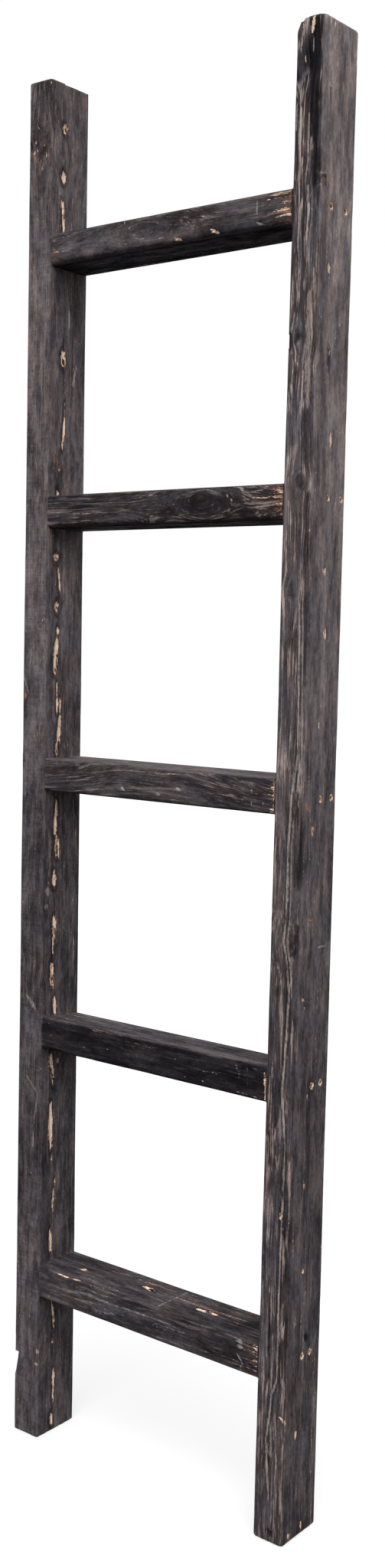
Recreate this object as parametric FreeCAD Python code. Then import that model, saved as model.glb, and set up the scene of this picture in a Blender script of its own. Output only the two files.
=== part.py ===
import FreeCAD, Part
import math
import os

# A leaning ladder of old sawn timber, for hanging blankets on: two stiles, five
# rungs butted between them, and two sunk wood screws through the stile into each
# rung end. Millimetres. X runs across the ladder, Y from its front (-) to its
# back (+), Z up the stiles. The origin is on the floor, in the middle of the feet.

os.makedirs("parts", exist_ok=True)
Vector = FreeCAD.Vector

# ---- Driving sizes --------------------------------------------------------------

# The whole ladder. The left stile was cut a little longer than the right one.
overall_width = 455.0
ladder_height = 1800.0
left_stile_extra = 9.0

# Stile section. Each board is a little stouter at its foot than at its top.
stile_foot_width = 45.0
stile_top_width = 39.5
stile_foot_depth = 74.5
stile_top_depth = 72.0

# Worn arrises: the right stile has lost more of its edges than the left one.
left_stile_arris = 3.0
right_stile_arris = 4.5
sawn_end_arris = 1.5
worn_top_arris = 3.5

# How the rungs are spread: from the ladder's top to the middle of the top rung, from
# rung to rung, and from the lowest one to the floor. Only their proportions count, so
# the rungs spread out or close up with the ladder's height.
rung_spread = [205.5, 333.0, 344.0, 348.0, 345.5, 224.0]

# Rungs, from the top one down. Each was sawn to its own height.
rung_heights = [41.5, 43.5, 44.0, 44.5, 45.0]
rung_top_falls = [0.0, 0.0, 0.0, 6.0, 0.0]
rung_front_inset = 0.5
rung_back_inset = 1.5
rung_arris = 4.0
rung_low_front_arrises = [9.0, 8.0, 4.0, 4.0, 4.0]

# Wood screws. Each pair was driven by eye: distances from the ladder's front face,
# and how far above the rung's middle.
front_screw_distances = [24.0, 35.0, 37.5, 37.0, 33.5]
back_screw_distances = [54.0, 62.5, 61.0, 56.5, 50.0]
screw_rises = [-1.0, 5.0, -2.5, -1.0, 8.0]
screw_length = 75.0
screw_head_radius = 4.2
screw_shank_radius = 2.1
screw_tip_length = 6.0
screw_sink = 2.5
screw_hole_clearance = 0.25
counterbore_clearance = 0.6
recess_arm_length = 5.0
recess_arm_width = 1.1
recess_depth = 1.6

# Screws and their holes are drawn with this many flat sides, to keep the model light.
round_sides = 16

# A splinter lost from the left stile's outer front edge, near its foot.
chip_top_height = 113.0
chip_length = 39.0
chip_width = 12.0
chip_depth = 16.0

# The left stile's top end was sawn in two strokes, which left a small step.
saw_step_drop = 2.0
saw_step_distance = 26.0

# ---- Sizes that follow ------------------------------------------------------------

half_width = overall_width / 2.0
left_stile_height = ladder_height + left_stile_extra
back_y = stile_foot_depth / 2.0
front_y_at_foot = -back_y
rung_count = len(rung_heights)
LEFT, RIGHT = -1, 1
SIDES = {LEFT: "left", RIGHT: "right"}


def stile_height(side):
    return left_stile_height if side == LEFT else ladder_height


def stile_depth_at(height):
    """Depth of a stile, front to back, at a height above the floor."""
    share = height / ladder_height
    return stile_foot_depth + (stile_top_depth - stile_foot_depth) * share


def stile_width_at(height):
    """Width of a stile, across the ladder, at a height above the floor."""
    share = height / ladder_height
    return stile_foot_width + (stile_top_width - stile_foot_width) * share


def front_y_at(height):
    """The stiles' back faces stand upright and their front faces lean back a little."""
    return back_y - stile_depth_at(height)


def rung_centre(index):
    """Height of a rung's middle. Index 0 is the top rung."""
    return ladder_height * sum(rung_spread[index + 1:]) / sum(rung_spread)


def prism(outline, sweep):
    """Solid swept from a flat outline along a straight line."""
    return Part.Face(Part.makePolygon(outline + [outline[0]])).extrude(sweep)


def solid_of(shape):
    """The single solid of a result that OCCT may wrap in a compound."""
    solids = shape.Solids
    if len(solids) != 1:
        raise ValueError("expected one solid, found %d" % len(solids))
    return solids[0]


# ---- Stiles -----------------------------------------------------------------------

def plain_stile(side):
    """Sawn board before wear: a tapered front outline crossed with a tapered side one."""
    top = stile_height(side)
    outer = side * half_width
    inner_foot = side * (half_width - stile_width_at(0.0))
    inner_top = side * (half_width - stile_width_at(top))
    front_outline = [
        Vector(outer, -stile_foot_depth, 0.0),
        Vector(inner_foot, -stile_foot_depth, 0.0),
        Vector(inner_top, -stile_foot_depth, top),
        Vector(outer, -stile_foot_depth, top),
    ]
    side_outline = [
        Vector(-overall_width, front_y_at_foot, 0.0),
        Vector(-overall_width, back_y, 0.0),
        Vector(-overall_width, back_y, top),
        Vector(-overall_width, front_y_at(top), top),
    ]
    seen_from_front = prism(front_outline, Vector(0.0, 2.0 * stile_foot_depth, 0.0))
    seen_from_side = prism(side_outline, Vector(2.0 * overall_width, 0.0, 0.0))
    return solid_of(seen_from_front.common(seen_from_side))


def edges_on_level(shape, height):
    """Edges that lie wholly in the horizontal plane at a height."""
    tolerance = 1e-4
    found = []
    for edge in shape.Edges:
        box = edge.BoundBox
        if abs(box.ZMin - height) < tolerance and abs(box.ZMax - height) < tolerance:
            found.append(edge)
    return found


def ease_stile(stile, side):
    """Bevel the edges of the two sawn ends, then round the four long arrises."""
    top = stile_height(side)
    long_arris = left_stile_arris if side == LEFT else right_stile_arris
    top_arris = sawn_end_arris if side == LEFT else worn_top_arris
    bevelled = stile.makeChamfer(top_arris, edges_on_level(stile, top))
    bevelled = bevelled.makeChamfer(sawn_end_arris, edges_on_level(bevelled, 0.0))
    long_edges = [edge for edge in bevelled.Edges if edge.BoundBox.ZLength > 0.5 * top]
    return bevelled.makeFillet(long_arris, long_edges)


def lost_splinter():
    """Wedge that broke off along the grain: square at its top, feathered at its lower end."""
    outer = -half_width
    front = front_y_at_foot
    slope_start = chip_top_height - 0.3 * chip_length
    face_outline = [
        Vector(outer - chip_width, front - chip_depth, chip_top_height),
        Vector(outer + chip_width, front - chip_depth, chip_top_height - 0.04 * chip_length),
        Vector(outer + 0.8 * chip_width, front - chip_depth, slope_start),
        Vector(outer, front - chip_depth, chip_top_height - chip_length),
        Vector(outer - chip_width, front - chip_depth, chip_top_height - chip_length),
    ]
    slab = prism(face_outline, Vector(0.0, 2.0 * chip_depth, 0.0))
    # The break runs out to the stile's outer face towards the back.
    plan_outline = [
        Vector(outer - 2.0 * chip_width, front - chip_depth, 0.0),
        Vector(outer + 2.0 * chip_width, front - chip_depth, 0.0),
        Vector(outer + 1.2 * chip_width, front + 0.3 * chip_depth, 0.0),
        Vector(outer, front + chip_depth, 0.0),
        Vector(outer - 2.0 * chip_width, front + chip_depth, 0.0),
    ]
    plan = prism(plan_outline, Vector(0.0, 0.0, chip_top_height + chip_length))
    return slab.common(plan)


def saw_step():
    """Slice left low behind the step in the left stile's top end."""
    step_y = front_y_at(left_stile_height) + saw_step_distance
    width = 2.0 * stile_top_width
    depth = back_y - step_y + stile_top_depth
    corner = Vector(-half_width - 0.5 * stile_top_width, step_y, left_stile_height - saw_step_drop)
    return Part.makeBox(width, depth, 2.0 * saw_step_drop, corner)


# ---- Screws -----------------------------------------------------------------------

def screw_places(index):
    """Heights above the floor and places from front to back of one rung end's two screws."""
    height = rung_centre(index) + screw_rises[index]
    front = front_y_at(height)
    return {
        "front": (front + front_screw_distances[index], height),
        "back": (front + back_screw_distances[index], height),
    }


def ring(along, radius):
    """Corners of one many-sided section about the X axis, or its single point at a tip."""
    if radius == 0.0:
        return [Vector(along, 0.0, 0.0)]
    corners = []
    for step in range(round_sides):
        angle = 2.0 * math.pi * (step + 0.5) / round_sides
        corners.append(Vector(along, radius * math.cos(angle), radius * math.sin(angle)))
    return corners


def flat_face(corners):
    return Part.Face(Part.makePolygon(corners + [corners[0]]))


def turned(profile):
    """Many-sided solid about the X axis, through (along, radius) sections, closed at both ends."""
    rings = [ring(along, radius) for along, radius in profile]
    faces = [flat_face(end) for end in (rings[0], rings[-1]) if len(end) > 1]
    for near, far in zip(rings, rings[1:]):
        for step in range(round_sides):
            after = (step + 1) % round_sides
            corners = [near[step], near[after]]
            corners += [far[0]] if len(far) == 1 else [far[after], far[step]]
            faces.append(flat_face(corners))
    solid = Part.Solid(Part.Shell(faces))
    if solid.Volume < 0.0:
        solid.reverse()
    return solid


def set_at(shape, side, y, height):
    """Move a shape made along -X from the outer face plane to its place on one stile."""
    if side == LEFT:
        shape = shape.mirror(Vector(0.0, 0.0, 0.0), Vector(1.0, 0.0, 0.0))
    moved = shape.copy()
    moved.translate(Vector(side * half_width, y, height))
    return moved


def screw_body():
    """Countersunk screw pointing along -X, its head sunk below the plane X = 0."""
    head_face = -screw_sink
    head_root = head_face - (screw_head_radius - screw_shank_radius)
    point = head_face - screw_length
    return turned([
        (head_face, screw_head_radius),
        (head_root, screw_shank_radius),
        (point + screw_tip_length, screw_shank_radius),
        (point, 0.0),
    ])


def cross_recess():
    """Two crossed slots for the driver, cut into the head's flat face."""
    arm = Part.makeBox(recess_depth, recess_arm_length, recess_arm_width)
    arm.translate(Vector(-screw_sink - recess_depth, -recess_arm_length / 2.0, -recess_arm_width / 2.0))
    other = arm.copy()
    other.rotate(Vector(0.0, 0.0, 0.0), Vector(1.0, 0.0, 0.0), 90.0)
    return arm.fuse(other)


def stile_hole():
    """Counterbore, countersink and clearance hole that one screw needs in a stile."""
    shank_hole = screw_shank_radius + screw_hole_clearance
    counterbore = screw_head_radius + counterbore_clearance
    head_face = -screw_sink
    cone_end = head_face - (screw_head_radius - shank_hole)
    past_stile = -2.0 * stile_foot_width
    return turned([
        (screw_sink, counterbore),
        (head_face, counterbore),
        (head_face, screw_head_radius),
        (cone_end, shank_hole),
        (past_stile, shank_hole),
    ])


def make_stile(side):
    stile = ease_stile(plain_stile(side), side)
    for index in range(rung_count):
        for y, height in screw_places(index).values():
            stile = stile.cut(set_at(stile_hole(), side, y, height))
    if side == LEFT:
        stile = stile.cut(lost_splinter())
        stile = stile.cut(saw_step())
    return solid_of(stile)


# ---- Rungs ------------------------------------------------------------------------

def rung_blank(index):
    """Sawn and eased rung, still long enough to run into both stiles."""
    centre = rung_centre(index)
    low = centre - rung_heights[index] / 2.0
    high = centre + rung_heights[index] / 2.0
    front = front_y_at(centre) + rung_front_inset
    back = back_y - rung_back_inset
    reach = half_width - 0.5 * stile_top_width
    section = [
        Vector(-reach, front, low),
        Vector(-reach, front, high),
        Vector(-reach, back, high - rung_top_falls[index]),
        Vector(-reach, back, low),
    ]
    board = prism(section, Vector(2.0 * reach, 0.0, 0.0))
    long_edges = [edge for edge in board.Edges if edge.BoundBox.XLength > reach]
    # The lower front arris is the most worn one. It is the only one that is low and in front.
    low_front = [
        edge for edge in long_edges
        if edge.BoundBox.ZMax < centre and edge.BoundBox.YMax < 0.0
    ]
    others = [edge for edge in long_edges if not edge.isSame(low_front[0])]
    eased = board.makeFillet(rung_arris, others)
    still_sharp = [
        edge for edge in eased.Edges
        if edge.BoundBox.XLength > reach
        and edge.BoundBox.ZMax < low + 1e-3 and edge.BoundBox.YMax < front + 1e-3
    ]
    return eased.makeFillet(rung_low_front_arrises[index], still_sharp)


def make_rung(index, stile_blanks, screws):
    """Scribe the ends to the stiles' inner faces, then let the screws bite into them."""
    rung = rung_blank(index)
    for blank in stile_blanks:
        rung = rung.cut(blank)
    for screw in screws:
        rung = rung.cut(screw)
    return solid_of(rung)


# ---- Build ------------------------------------------------------------------------

def make_screws():
    """Every screw and its plain body, by name and by the rung that it holds."""
    finished = {}
    bodies = {index: [] for index in range(rung_count)}
    for index in range(rung_count):
        for side, side_name in SIDES.items():
            for place, (y, height) in screw_places(index).items():
                body = set_at(screw_body(), side, y, height)
                recess = set_at(cross_recess(), side, y, height)
                name = "screw_%s_%d_%s" % (side_name, index + 1, place)
                finished[name] = solid_of(body.cut(recess))
                bodies[index].append(body)
    return finished, bodies


def build():
    nodes = {}
    blanks = [plain_stile(side) for side in SIDES]
    screws, screw_bodies = make_screws()
    for side, side_name in SIDES.items():
        nodes[side_name + "_stile"] = make_stile(side)
    for index in range(rung_count):
        nodes["rung_%d" % (index + 1)] = make_rung(index, blanks, screw_bodies[index])
    nodes.update(screws)
    return nodes


for node_name, shape in build().items():
    if not shape.isValid():
        raise ValueError(node_name + " isn't a valid solid")
    shape.exportStep("parts/%s.step" % node_name)
    print("%-22s %9.1f cm3  %s" % (node_name, shape.Volume / 1000.0, shape.BoundBox))
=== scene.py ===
# %% [markdown]
# # A worn blanket ladder
#
# The real object is a leaning ladder of reclaimed timber: two stiles, five rungs
# butted between them, and sunk screws through the stiles into the rung ends. Its
# near-black paint has rubbed thin along the grain, so almost all of its character is
# in its surfaces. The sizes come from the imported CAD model, which is loaded first and
# never moved. Every board is then made again as a dense mesh that wear can be carved
# into, and the CAD board that it stands for is hidden.

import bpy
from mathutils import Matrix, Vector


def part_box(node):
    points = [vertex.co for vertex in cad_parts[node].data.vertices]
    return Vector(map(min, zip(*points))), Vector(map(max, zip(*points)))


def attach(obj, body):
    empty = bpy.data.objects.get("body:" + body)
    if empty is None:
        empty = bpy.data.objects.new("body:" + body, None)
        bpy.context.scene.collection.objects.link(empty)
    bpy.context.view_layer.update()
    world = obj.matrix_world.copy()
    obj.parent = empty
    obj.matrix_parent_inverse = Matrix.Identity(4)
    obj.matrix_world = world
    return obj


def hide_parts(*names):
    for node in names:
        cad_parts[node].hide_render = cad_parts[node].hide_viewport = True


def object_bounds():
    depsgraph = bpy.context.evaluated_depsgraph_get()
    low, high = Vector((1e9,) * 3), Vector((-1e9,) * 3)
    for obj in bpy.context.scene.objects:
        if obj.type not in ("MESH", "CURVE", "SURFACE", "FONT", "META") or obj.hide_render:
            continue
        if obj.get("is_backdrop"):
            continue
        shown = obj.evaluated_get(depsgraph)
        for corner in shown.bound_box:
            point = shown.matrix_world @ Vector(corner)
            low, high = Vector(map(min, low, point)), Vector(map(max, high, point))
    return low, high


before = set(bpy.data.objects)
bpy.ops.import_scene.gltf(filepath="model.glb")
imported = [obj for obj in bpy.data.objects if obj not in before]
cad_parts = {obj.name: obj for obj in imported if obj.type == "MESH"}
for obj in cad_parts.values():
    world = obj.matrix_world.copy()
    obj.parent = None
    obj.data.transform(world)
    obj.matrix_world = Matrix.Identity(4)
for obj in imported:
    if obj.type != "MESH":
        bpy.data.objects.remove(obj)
cad_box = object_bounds()
print("CAD box, metres:", [[round(v, 4) for v in corner] for corner in cad_box])

# %% Modules
import math

import bmesh
import bpy
import numpy as np
from mathutils import Matrix, Vector

MM = 0.001
UP = 2  # index of the Z axis

# %% [markdown]
# ## The camera comes first
#
# The photograph was taken from the ladder's right, about two metres away and a little
# above its middle. Placing the camera first has a second use here: a line from the
# camera through a pixel of the photograph meets a face of a board where that chip or
# knot really is, so marks can be placed by what was seen. A look-at constraint would
# be quicker, but it can't give the camera's slight roll, so its three angles are set.

# %% Camera
PHOTO_SIZE = (503, 2048)
FOCAL_PIXELS = 2057.5
SENSOR = 36.0
CAMERA_PLACE = Vector((1.2480, -1.5527, 1.1014))
YAW, PITCH, ROLL = (math.radians(angle) for angle in (-37.973, -5.287, 1.219))

ahead_level = Vector((math.sin(YAW), math.cos(YAW), 0.0))
ahead = ahead_level * math.cos(PITCH) + Vector((0.0, 0.0, math.sin(PITCH)))
level_right = Vector((math.cos(YAW), -math.sin(YAW), 0.0))
level_up = level_right.cross(ahead)
camera_right = level_right * math.cos(ROLL) + level_up * math.sin(ROLL)
camera_up = level_up * math.cos(ROLL) - level_right * math.sin(ROLL)

camera_data = bpy.data.cameras.new("camera")
camera_data.sensor_width = SENSOR
camera_data.lens = FOCAL_PIXELS * SENSOR / max(PHOTO_SIZE)
camera_data.clip_start = 0.05
camera = bpy.data.objects.new("camera", camera_data)
bpy.context.scene.collection.objects.link(camera)
turn = Matrix((camera_right, camera_up, -ahead)).transposed()
camera.matrix_world = Matrix.Translation(CAMERA_PLACE) @ turn.to_4x4()
bpy.context.scene.camera = camera
print("lens, mm:", round(camera_data.lens, 2))


# %% A line of sight through a pixel
def sight(across, down):
    """Direction from the camera through a pixel of the 503 by 2048 photograph."""
    right = (across - PHOTO_SIZE[0] / 2) / FOCAL_PIXELS
    up = (PHOTO_SIZE[1] / 2 - down) / FOCAL_PIXELS
    return ahead + camera_right * right + camera_up * up


def seen_on(across, down, plane):
    """Where the line of sight through a pixel meets a plane, given as (point, normal)."""
    point, normal = plane
    direction = sight(across, down)
    reach = (point - CAMERA_PLACE).dot(normal) / direction.dot(normal)
    return CAMERA_PLACE + direction * reach


# %% [markdown]
# ## The ladder's measures
#
# These are the CAD model's own sizes. The stiles' backs and outer faces stand upright,
# and each stile tapers a little towards its top on its front and inner faces. Writing
# that as two small functions keeps every board, hole and mark on the right surface.

# %% Sizes
STILE_FOOT_WIDTH, STILE_TOP_WIDTH = 45.0 * MM, 39.5 * MM
STILE_FOOT_DEPTH, STILE_TOP_DEPTH = 74.5 * MM, 72.0 * MM
LADDER_HEIGHT = 1.8
HALF_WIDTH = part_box("right_stile")[1].x
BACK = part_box("right_stile")[1].y
SIDE = {"left": -1, "right": 1}
RUNGS = ["rung_%d" % number for number in range(1, 6)]


def width_at(height):
    return STILE_FOOT_WIDTH + (STILE_TOP_WIDTH - STILE_FOOT_WIDTH) * height / LADDER_HEIGHT


def front_at(height):
    depth = STILE_FOOT_DEPTH + (STILE_TOP_DEPTH - STILE_FOOT_DEPTH) * height / LADDER_HEIGHT
    return BACK - depth


def inner_at(side, height):
    return SIDE[side] * (HALF_WIDTH - width_at(height))


for rung in RUNGS:
    low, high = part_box(rung)
    centre, height = (low.z + high.z) / 2, high.z - low.z
    print(rung, "centre", round(centre, 4), "height, mm", round(height / MM, 1))

# %% [markdown]
# ## Noise that is the same on every run
#
# Old timber needs irregular numbers everywhere: for worn arrises, ridges and ragged
# chips. Random numbers would jump from point to point, so this is value noise: a
# fixed number at each corner of a lattice, blended smoothly in between. It has no
# state, so the ladder comes out the same each time.

# %% Value noise
CELL_PRIMES = (73856093, 19349663, 83492791)  # large primes, which keep the axes apart
SEED_STEP = 2654435
STIRS = ((13, 1274126177), (16, 668265263))  # a shift to the right, and a multiplier
LOW_31_BITS, LOW_16_BITS = 0x7FFFFFFF, 0xFFFF


def corner_value(cell, seed):
    """A fixed number from 0 to 1 for each lattice corner."""
    mixed = np.bitwise_xor.reduce(cell * np.array(CELL_PRIMES), axis=1)
    mixed = (mixed + seed * SEED_STEP) & LOW_31_BITS
    for shift, multiplier in STIRS:
        mixed = ((mixed ^ (mixed >> shift)) * multiplier) & LOW_31_BITS
    return ((mixed ^ (mixed >> 15)) & LOW_16_BITS) / LOW_16_BITS


def noise(points, sizes, seed):
    """Smooth noise from -1 to 1, with blobs of the given sizes in metres."""
    scaled = points / np.array(sizes)
    base = np.floor(scaled).astype(np.int64)
    share = scaled - base
    share = share * share * (3.0 - 2.0 * share)
    total = np.zeros(len(points))
    for corner in np.ndindex(2, 2, 2):
        step = np.array(corner)
        weight = np.prod(np.where(step, share, 1.0 - share), axis=1)
        total += weight * corner_value(base + step, seed)
    return total * 2.0 - 1.0


def ramp(values, low, high):
    """0 at low and before it, 1 at high and after it, and a smooth rise in between."""
    share = np.clip((values - low) / (high - low), 0.0, 1.0)
    return share * share * (3.0 - 2.0 * share)


sample = noise(np.random.default_rng(1).random((4000, 3)), (0.1, 0.1, 0.1), 3)
print("noise from", round(sample.min(), 2), "to", round(sample.max(), 2))

# %% [markdown]
# ## How a board is made
#
# A board starts as a cube at the board's size. In edit mode its end is moved to give
# the taper, its edges are bevelled to the worn radius, and its long edges are cut
# again and again until the faces are about two millimetres across. Sculpting would
# need brushes by hand, and a voxel remesh would blur the arrises. A grid cut like this
# keeps the edge loops straight and still gives room for chips.

# %% Edit-mode helpers
MOSTLY = 0.8  # share of an edge's length that has to lie along an axis


def pick_alone(piece):
    """Select one object and nothing else, and make it the active one."""
    bpy.ops.object.select_all(action="DESELECT")
    piece.select_set(True)
    bpy.context.view_layer.objects.active = piece


def fresh_cube(name, low, high):
    """A cube between two corners, alone in the selection, with its place in its mesh."""
    bpy.ops.object.select_all(action="DESELECT")
    centre = (Vector(low) + Vector(high)) / 2
    size = Vector(high) - Vector(low)
    bpy.ops.mesh.primitive_cube_add(size=1.0, location=centre, scale=size)
    cube = bpy.context.object
    cube.name = name
    bpy.ops.object.transform_apply(location=True, rotation=False, scale=True)
    return cube


def pick(board, kind, test):
    """Select the vertices, edges or faces that pass a test, and nothing else."""
    bpy.ops.mesh.select_mode(type={"verts": "VERT", "edges": "EDGE", "faces": "FACE"}[kind])
    bpy.ops.mesh.select_all(action="DESELECT")
    mesh = bmesh.from_edit_mesh(board.data)
    count = 0
    for element in getattr(mesh, kind):
        if test(element):
            element.select = True
            count += 1
    mesh.select_flush_mode()
    bmesh.update_edit_mesh(board.data)
    return count


def runs_along(axis, at_least):
    """A test for edges that run along an axis and have at least that length."""
    def test(edge):
        span = edge.verts[1].co - edge.verts[0].co
        return abs(span[axis]) > MOSTLY * span.length and span.length > at_least
    return test


def cut_along(board, axis, at_least, cuts):
    """Cut every edge along an axis into shorter ones, and join the cuts across faces."""
    if pick(board, "edges", runs_along(axis, at_least)):
        bpy.ops.mesh.subdivide(number_cuts=cuts)


# %% A test cube, cut and thrown away
LONG_CUTS = 26
WHOLE_STILE, WHOLE_RUNG = 0.5, 0.2  # an edge that is longer runs from end to end
CUT_ONCE = 0.01  # an edge that is longer, after the first cuts, needs the second ones
ACROSS = 0.02  # an edge that is longer crosses a flat face
trial = fresh_cube("trial", (0, 0, 0), (0.04, 0.07, LADDER_HEIGHT))
bpy.ops.object.mode_set(mode="EDIT")
cut_along(trial, UP, WHOLE_STILE, LONG_CUTS)
bpy.ops.object.mode_set(mode="OBJECT")
print("faces after one cut of the long edges:", len(trial.data.polygons))
bpy.data.objects.remove(trial, do_unlink=True)

# %% [markdown]
# ## The two stiles, plain
#
# Each stile is a tapered post. The right one has lost more of its arrises than the
# left one, so its bevel is wider. The left one is nine millimetres longer, which
# shows in the photograph at its top.

# %% Plain stiles
STILE_ARRIS = {"left": 3.0 * MM, "right": 4.5 * MM}
ARRIS_STEPS = 4
MID_STILE = HALF_WIDTH - 20.0 * MM
DEPTH_CUTS = 31
WIDTH_CUTS = 17


def plain_stile(side):
    low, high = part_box(side + "_stile")
    stile = fresh_cube("worn_%s_stile" % side, low, high)
    for corner in stile.data.vertices:
        if corner.co.x * SIDE[side] < MID_STILE:
            corner.co.x = inner_at(side, corner.co.z)
        if corner.co.y < 0.0:
            corner.co.y = front_at(corner.co.z)
    bpy.ops.object.mode_set(mode="EDIT")
    bpy.ops.mesh.select_all(action="SELECT")
    bpy.ops.mesh.bevel(offset=STILE_ARRIS[side], segments=ARRIS_STEPS, affect="EDGES")
    cut_along(stile, UP, WHOLE_STILE, LONG_CUTS)
    cut_along(stile, UP, CUT_ONCE, LONG_CUTS)
    cut_along(stile, 1, ACROSS, DEPTH_CUTS)
    cut_along(stile, 0, ACROSS, WIDTH_CUTS)
    bpy.ops.object.mode_set(mode="OBJECT")
    return stile


stiles = {side: plain_stile(side) for side in SIDE}
for side, stile in stiles.items():
    print(stile.name, "faces:", len(stile.data.polygons))

# %% [markdown]
# ## The five rungs, plain
#
# A rung is butted against the stiles, so only its four long edges are eased. Its ends
# follow the stiles' sloping inner faces. The fourth rung's top falls to the back, and
# the two upper rungs have a broadly rounded lower front edge, which is pushed in after
# the bevel, because one bevel gives all edges one radius.

# %% Plain rungs
RUNG_ARRIS = 4.0 * MM
RUNG_LONG_CUTS = 13
RUNG_DEPTH_CUTS = 29
RUNG_HEIGHT_CUTS = 19
TOP_FALL = {"rung_4": 6.0 * MM}
ROUNDED_OFF = {"rung_4": 0.35 * MM}  # a sloping top's highest line is lost in the bevel
LOW_FRONT_RADIUS = {"rung_1": 9.0 * MM, "rung_2": 8.0 * MM}
FRONT_INSET = 0.5 * MM


def round_low_front(rung, radius, low):
    """Pull the lower front edge in to a wider arc."""
    for corner in rung.data.vertices:
        centre_y = front_at(low.z) + FRONT_INSET + radius
        centre_z = low.z + radius
        dy, dz = corner.co.y - centre_y, corner.co.z - centre_z
        reach = math.hypot(dy, dz)
        if dy < 0.0 and dz < 0.0 and reach > radius:
            corner.co.y = centre_y + dy * radius / reach
            corner.co.z = centre_z + dz * radius / reach


def plain_rung(name):
    low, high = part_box(name)
    high.z += ROUNDED_OFF.get(name, 0.0)
    rung = fresh_cube("worn_" + name, low, high)
    for corner in rung.data.vertices:
        side = "left" if corner.co.x < 0.0 else "right"
        corner.co.x = inner_at(side, corner.co.z)
        if corner.co.y < 0.0:
            corner.co.y = front_at((low.z + high.z) / 2) + FRONT_INSET
        elif corner.co.z > (low.z + high.z) / 2:
            corner.co.z -= TOP_FALL.get(name, 0.0)
    bpy.ops.object.mode_set(mode="EDIT")
    pick(rung, "edges", runs_along(0, WHOLE_RUNG))
    bpy.ops.mesh.bevel(offset=RUNG_ARRIS, segments=ARRIS_STEPS, affect="EDGES")
    cut_along(rung, 0, WHOLE_RUNG, RUNG_LONG_CUTS)
    cut_along(rung, 0, CUT_ONCE, RUNG_LONG_CUTS)
    cut_along(rung, 1, ACROSS, RUNG_DEPTH_CUTS)
    cut_along(rung, UP, ACROSS, RUNG_HEIGHT_CUTS)
    bpy.ops.object.mode_set(mode="OBJECT")
    if name in LOW_FRONT_RADIUS:
        round_low_front(rung, LOW_FRONT_RADIUS[name], low)
    return rung


rungs = {name: plain_rung(name) for name in RUNGS}
for rung in rungs.values():
    print(rung.name, "faces:", len(rung.data.polygons))

# %% [markdown]
# ## Screw holes, the lost splinter and the saw step
#
# Each screw sits in a hole with a counterbore, a countersink and a clearance hole. A
# circle is added for the hole, extruded and scaled into that stepped shape, made again
# for all ten places on a stile and taken away with a Boolean modifier. Drawing the holes
# in the material alone would be cheaper, but the exported mesh would then have none.
# Each cut ends by closing any slit that the Boolean leaves.

# %% Cutters
HEAD_RADIUS, SHANK_RADIUS = 4.2 * MM, 2.1 * MM
COUNTERBORE_RADIUS, SINK = 4.8 * MM, 2.5 * MM
SWOLLEN_RADIUS = 2.3 * MM  # the fibres have swollen back over the sunk head
LIP = 1.6 * MM  # how thick those fibres are
SHANK_HOLE_RADIUS = SHANK_RADIUS + 0.25 * MM
HOLE_SIDES = 24
OFF_GRID = 0.07 * MM  # keeps a cutter's corners off the board's own cuts
# Radius of the hole at each depth below the stile's outer face.
HOLE_PROFILE = [
    (-2.5 * MM, SWOLLEN_RADIUS), (LIP, SWOLLEN_RADIUS), (LIP + 0.1 * MM, COUNTERBORE_RADIUS),
    (SINK, COUNTERBORE_RADIUS), (SINK + 0.05 * MM, HEAD_RADIUS + 0.1 * MM),
    (4.4 * MM, SHANK_HOLE_RADIUS), (60.0 * MM, SHANK_HOLE_RADIUS),
]


def hole_cutter(name, side, y, z, profile):
    """A turned cutter that enters a stile from its outer face."""
    bpy.ops.object.select_all(action="DESELECT")
    start, radius = profile[0]
    bpy.ops.mesh.primitive_circle_add(vertices=HOLE_SIDES, radius=radius, fill_type="NGON")
    cutter = bpy.context.object
    cutter.name = name
    bpy.ops.object.mode_set(mode="EDIT")
    for (near, near_radius), (far, far_radius) in zip(profile, profile[1:]):
        step = {"value": (0.0, 0.0, far - near)}
        bpy.ops.mesh.extrude_region_move(TRANSFORM_OT_translate=step)
        share = far_radius / near_radius
        bpy.ops.transform.resize(value=(share, share, 1.0))
    bpy.ops.mesh.select_all(action="SELECT")
    bpy.ops.mesh.normals_make_consistent(inside=False)
    bpy.ops.object.mode_set(mode="OBJECT")
    inwards = Matrix.Rotation(math.radians(-90.0 * SIDE[side]), 4, "Y")
    outside = SIDE[side] * (HALF_WIDTH - start)
    place = Matrix.Translation((outside, y + OFF_GRID, z + OFF_GRID))
    cutter.data.transform(place @ inwards)
    return cutter


def joined(pieces, name):
    """One object from several, with the first one's place in the scene."""
    pick_alone(pieces[0])
    for piece in pieces:
        piece.select_set(True)
    bpy.ops.object.join()
    pieces[0].name = name
    return pieces[0]


def close_up(piece):
    """Fill the few slits that a Boolean leaves where two thin faces all but meet."""
    bpy.ops.object.mode_set(mode="EDIT")
    bpy.ops.mesh.select_mode(type="EDGE")
    bpy.ops.mesh.select_all(action="DESELECT")
    bpy.ops.mesh.select_non_manifold(extend=False)
    bpy.ops.mesh.fill_holes(sides=0)
    bpy.ops.mesh.select_all(action="SELECT")
    bpy.ops.mesh.normals_make_consistent(inside=False)
    bpy.ops.object.mode_set(mode="OBJECT")


def cut_away(piece, cutter):
    """Boolean difference, applied at once, after which the cutter is thrown away."""
    pick_alone(piece)
    change = piece.modifiers.new("cut", "BOOLEAN")
    change.operation = "DIFFERENCE"
    change.solver = "EXACT"
    change.object = cutter
    bpy.ops.object.modifier_apply(modifier=change.name)
    bpy.data.objects.remove(cutter, do_unlink=True)
    close_up(piece)


def screw_places(side):
    """Place from front to back and height of each screw, from the CAD screws' boxes."""
    places = []
    for number in range(1, 6):
        for place in ("front", "back"):
            low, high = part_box("screw_%s_%d_%s" % (side, number, place))
            places.append(((low.y + high.y) / 2, (low.z + high.z) / 2))
    return places


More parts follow.
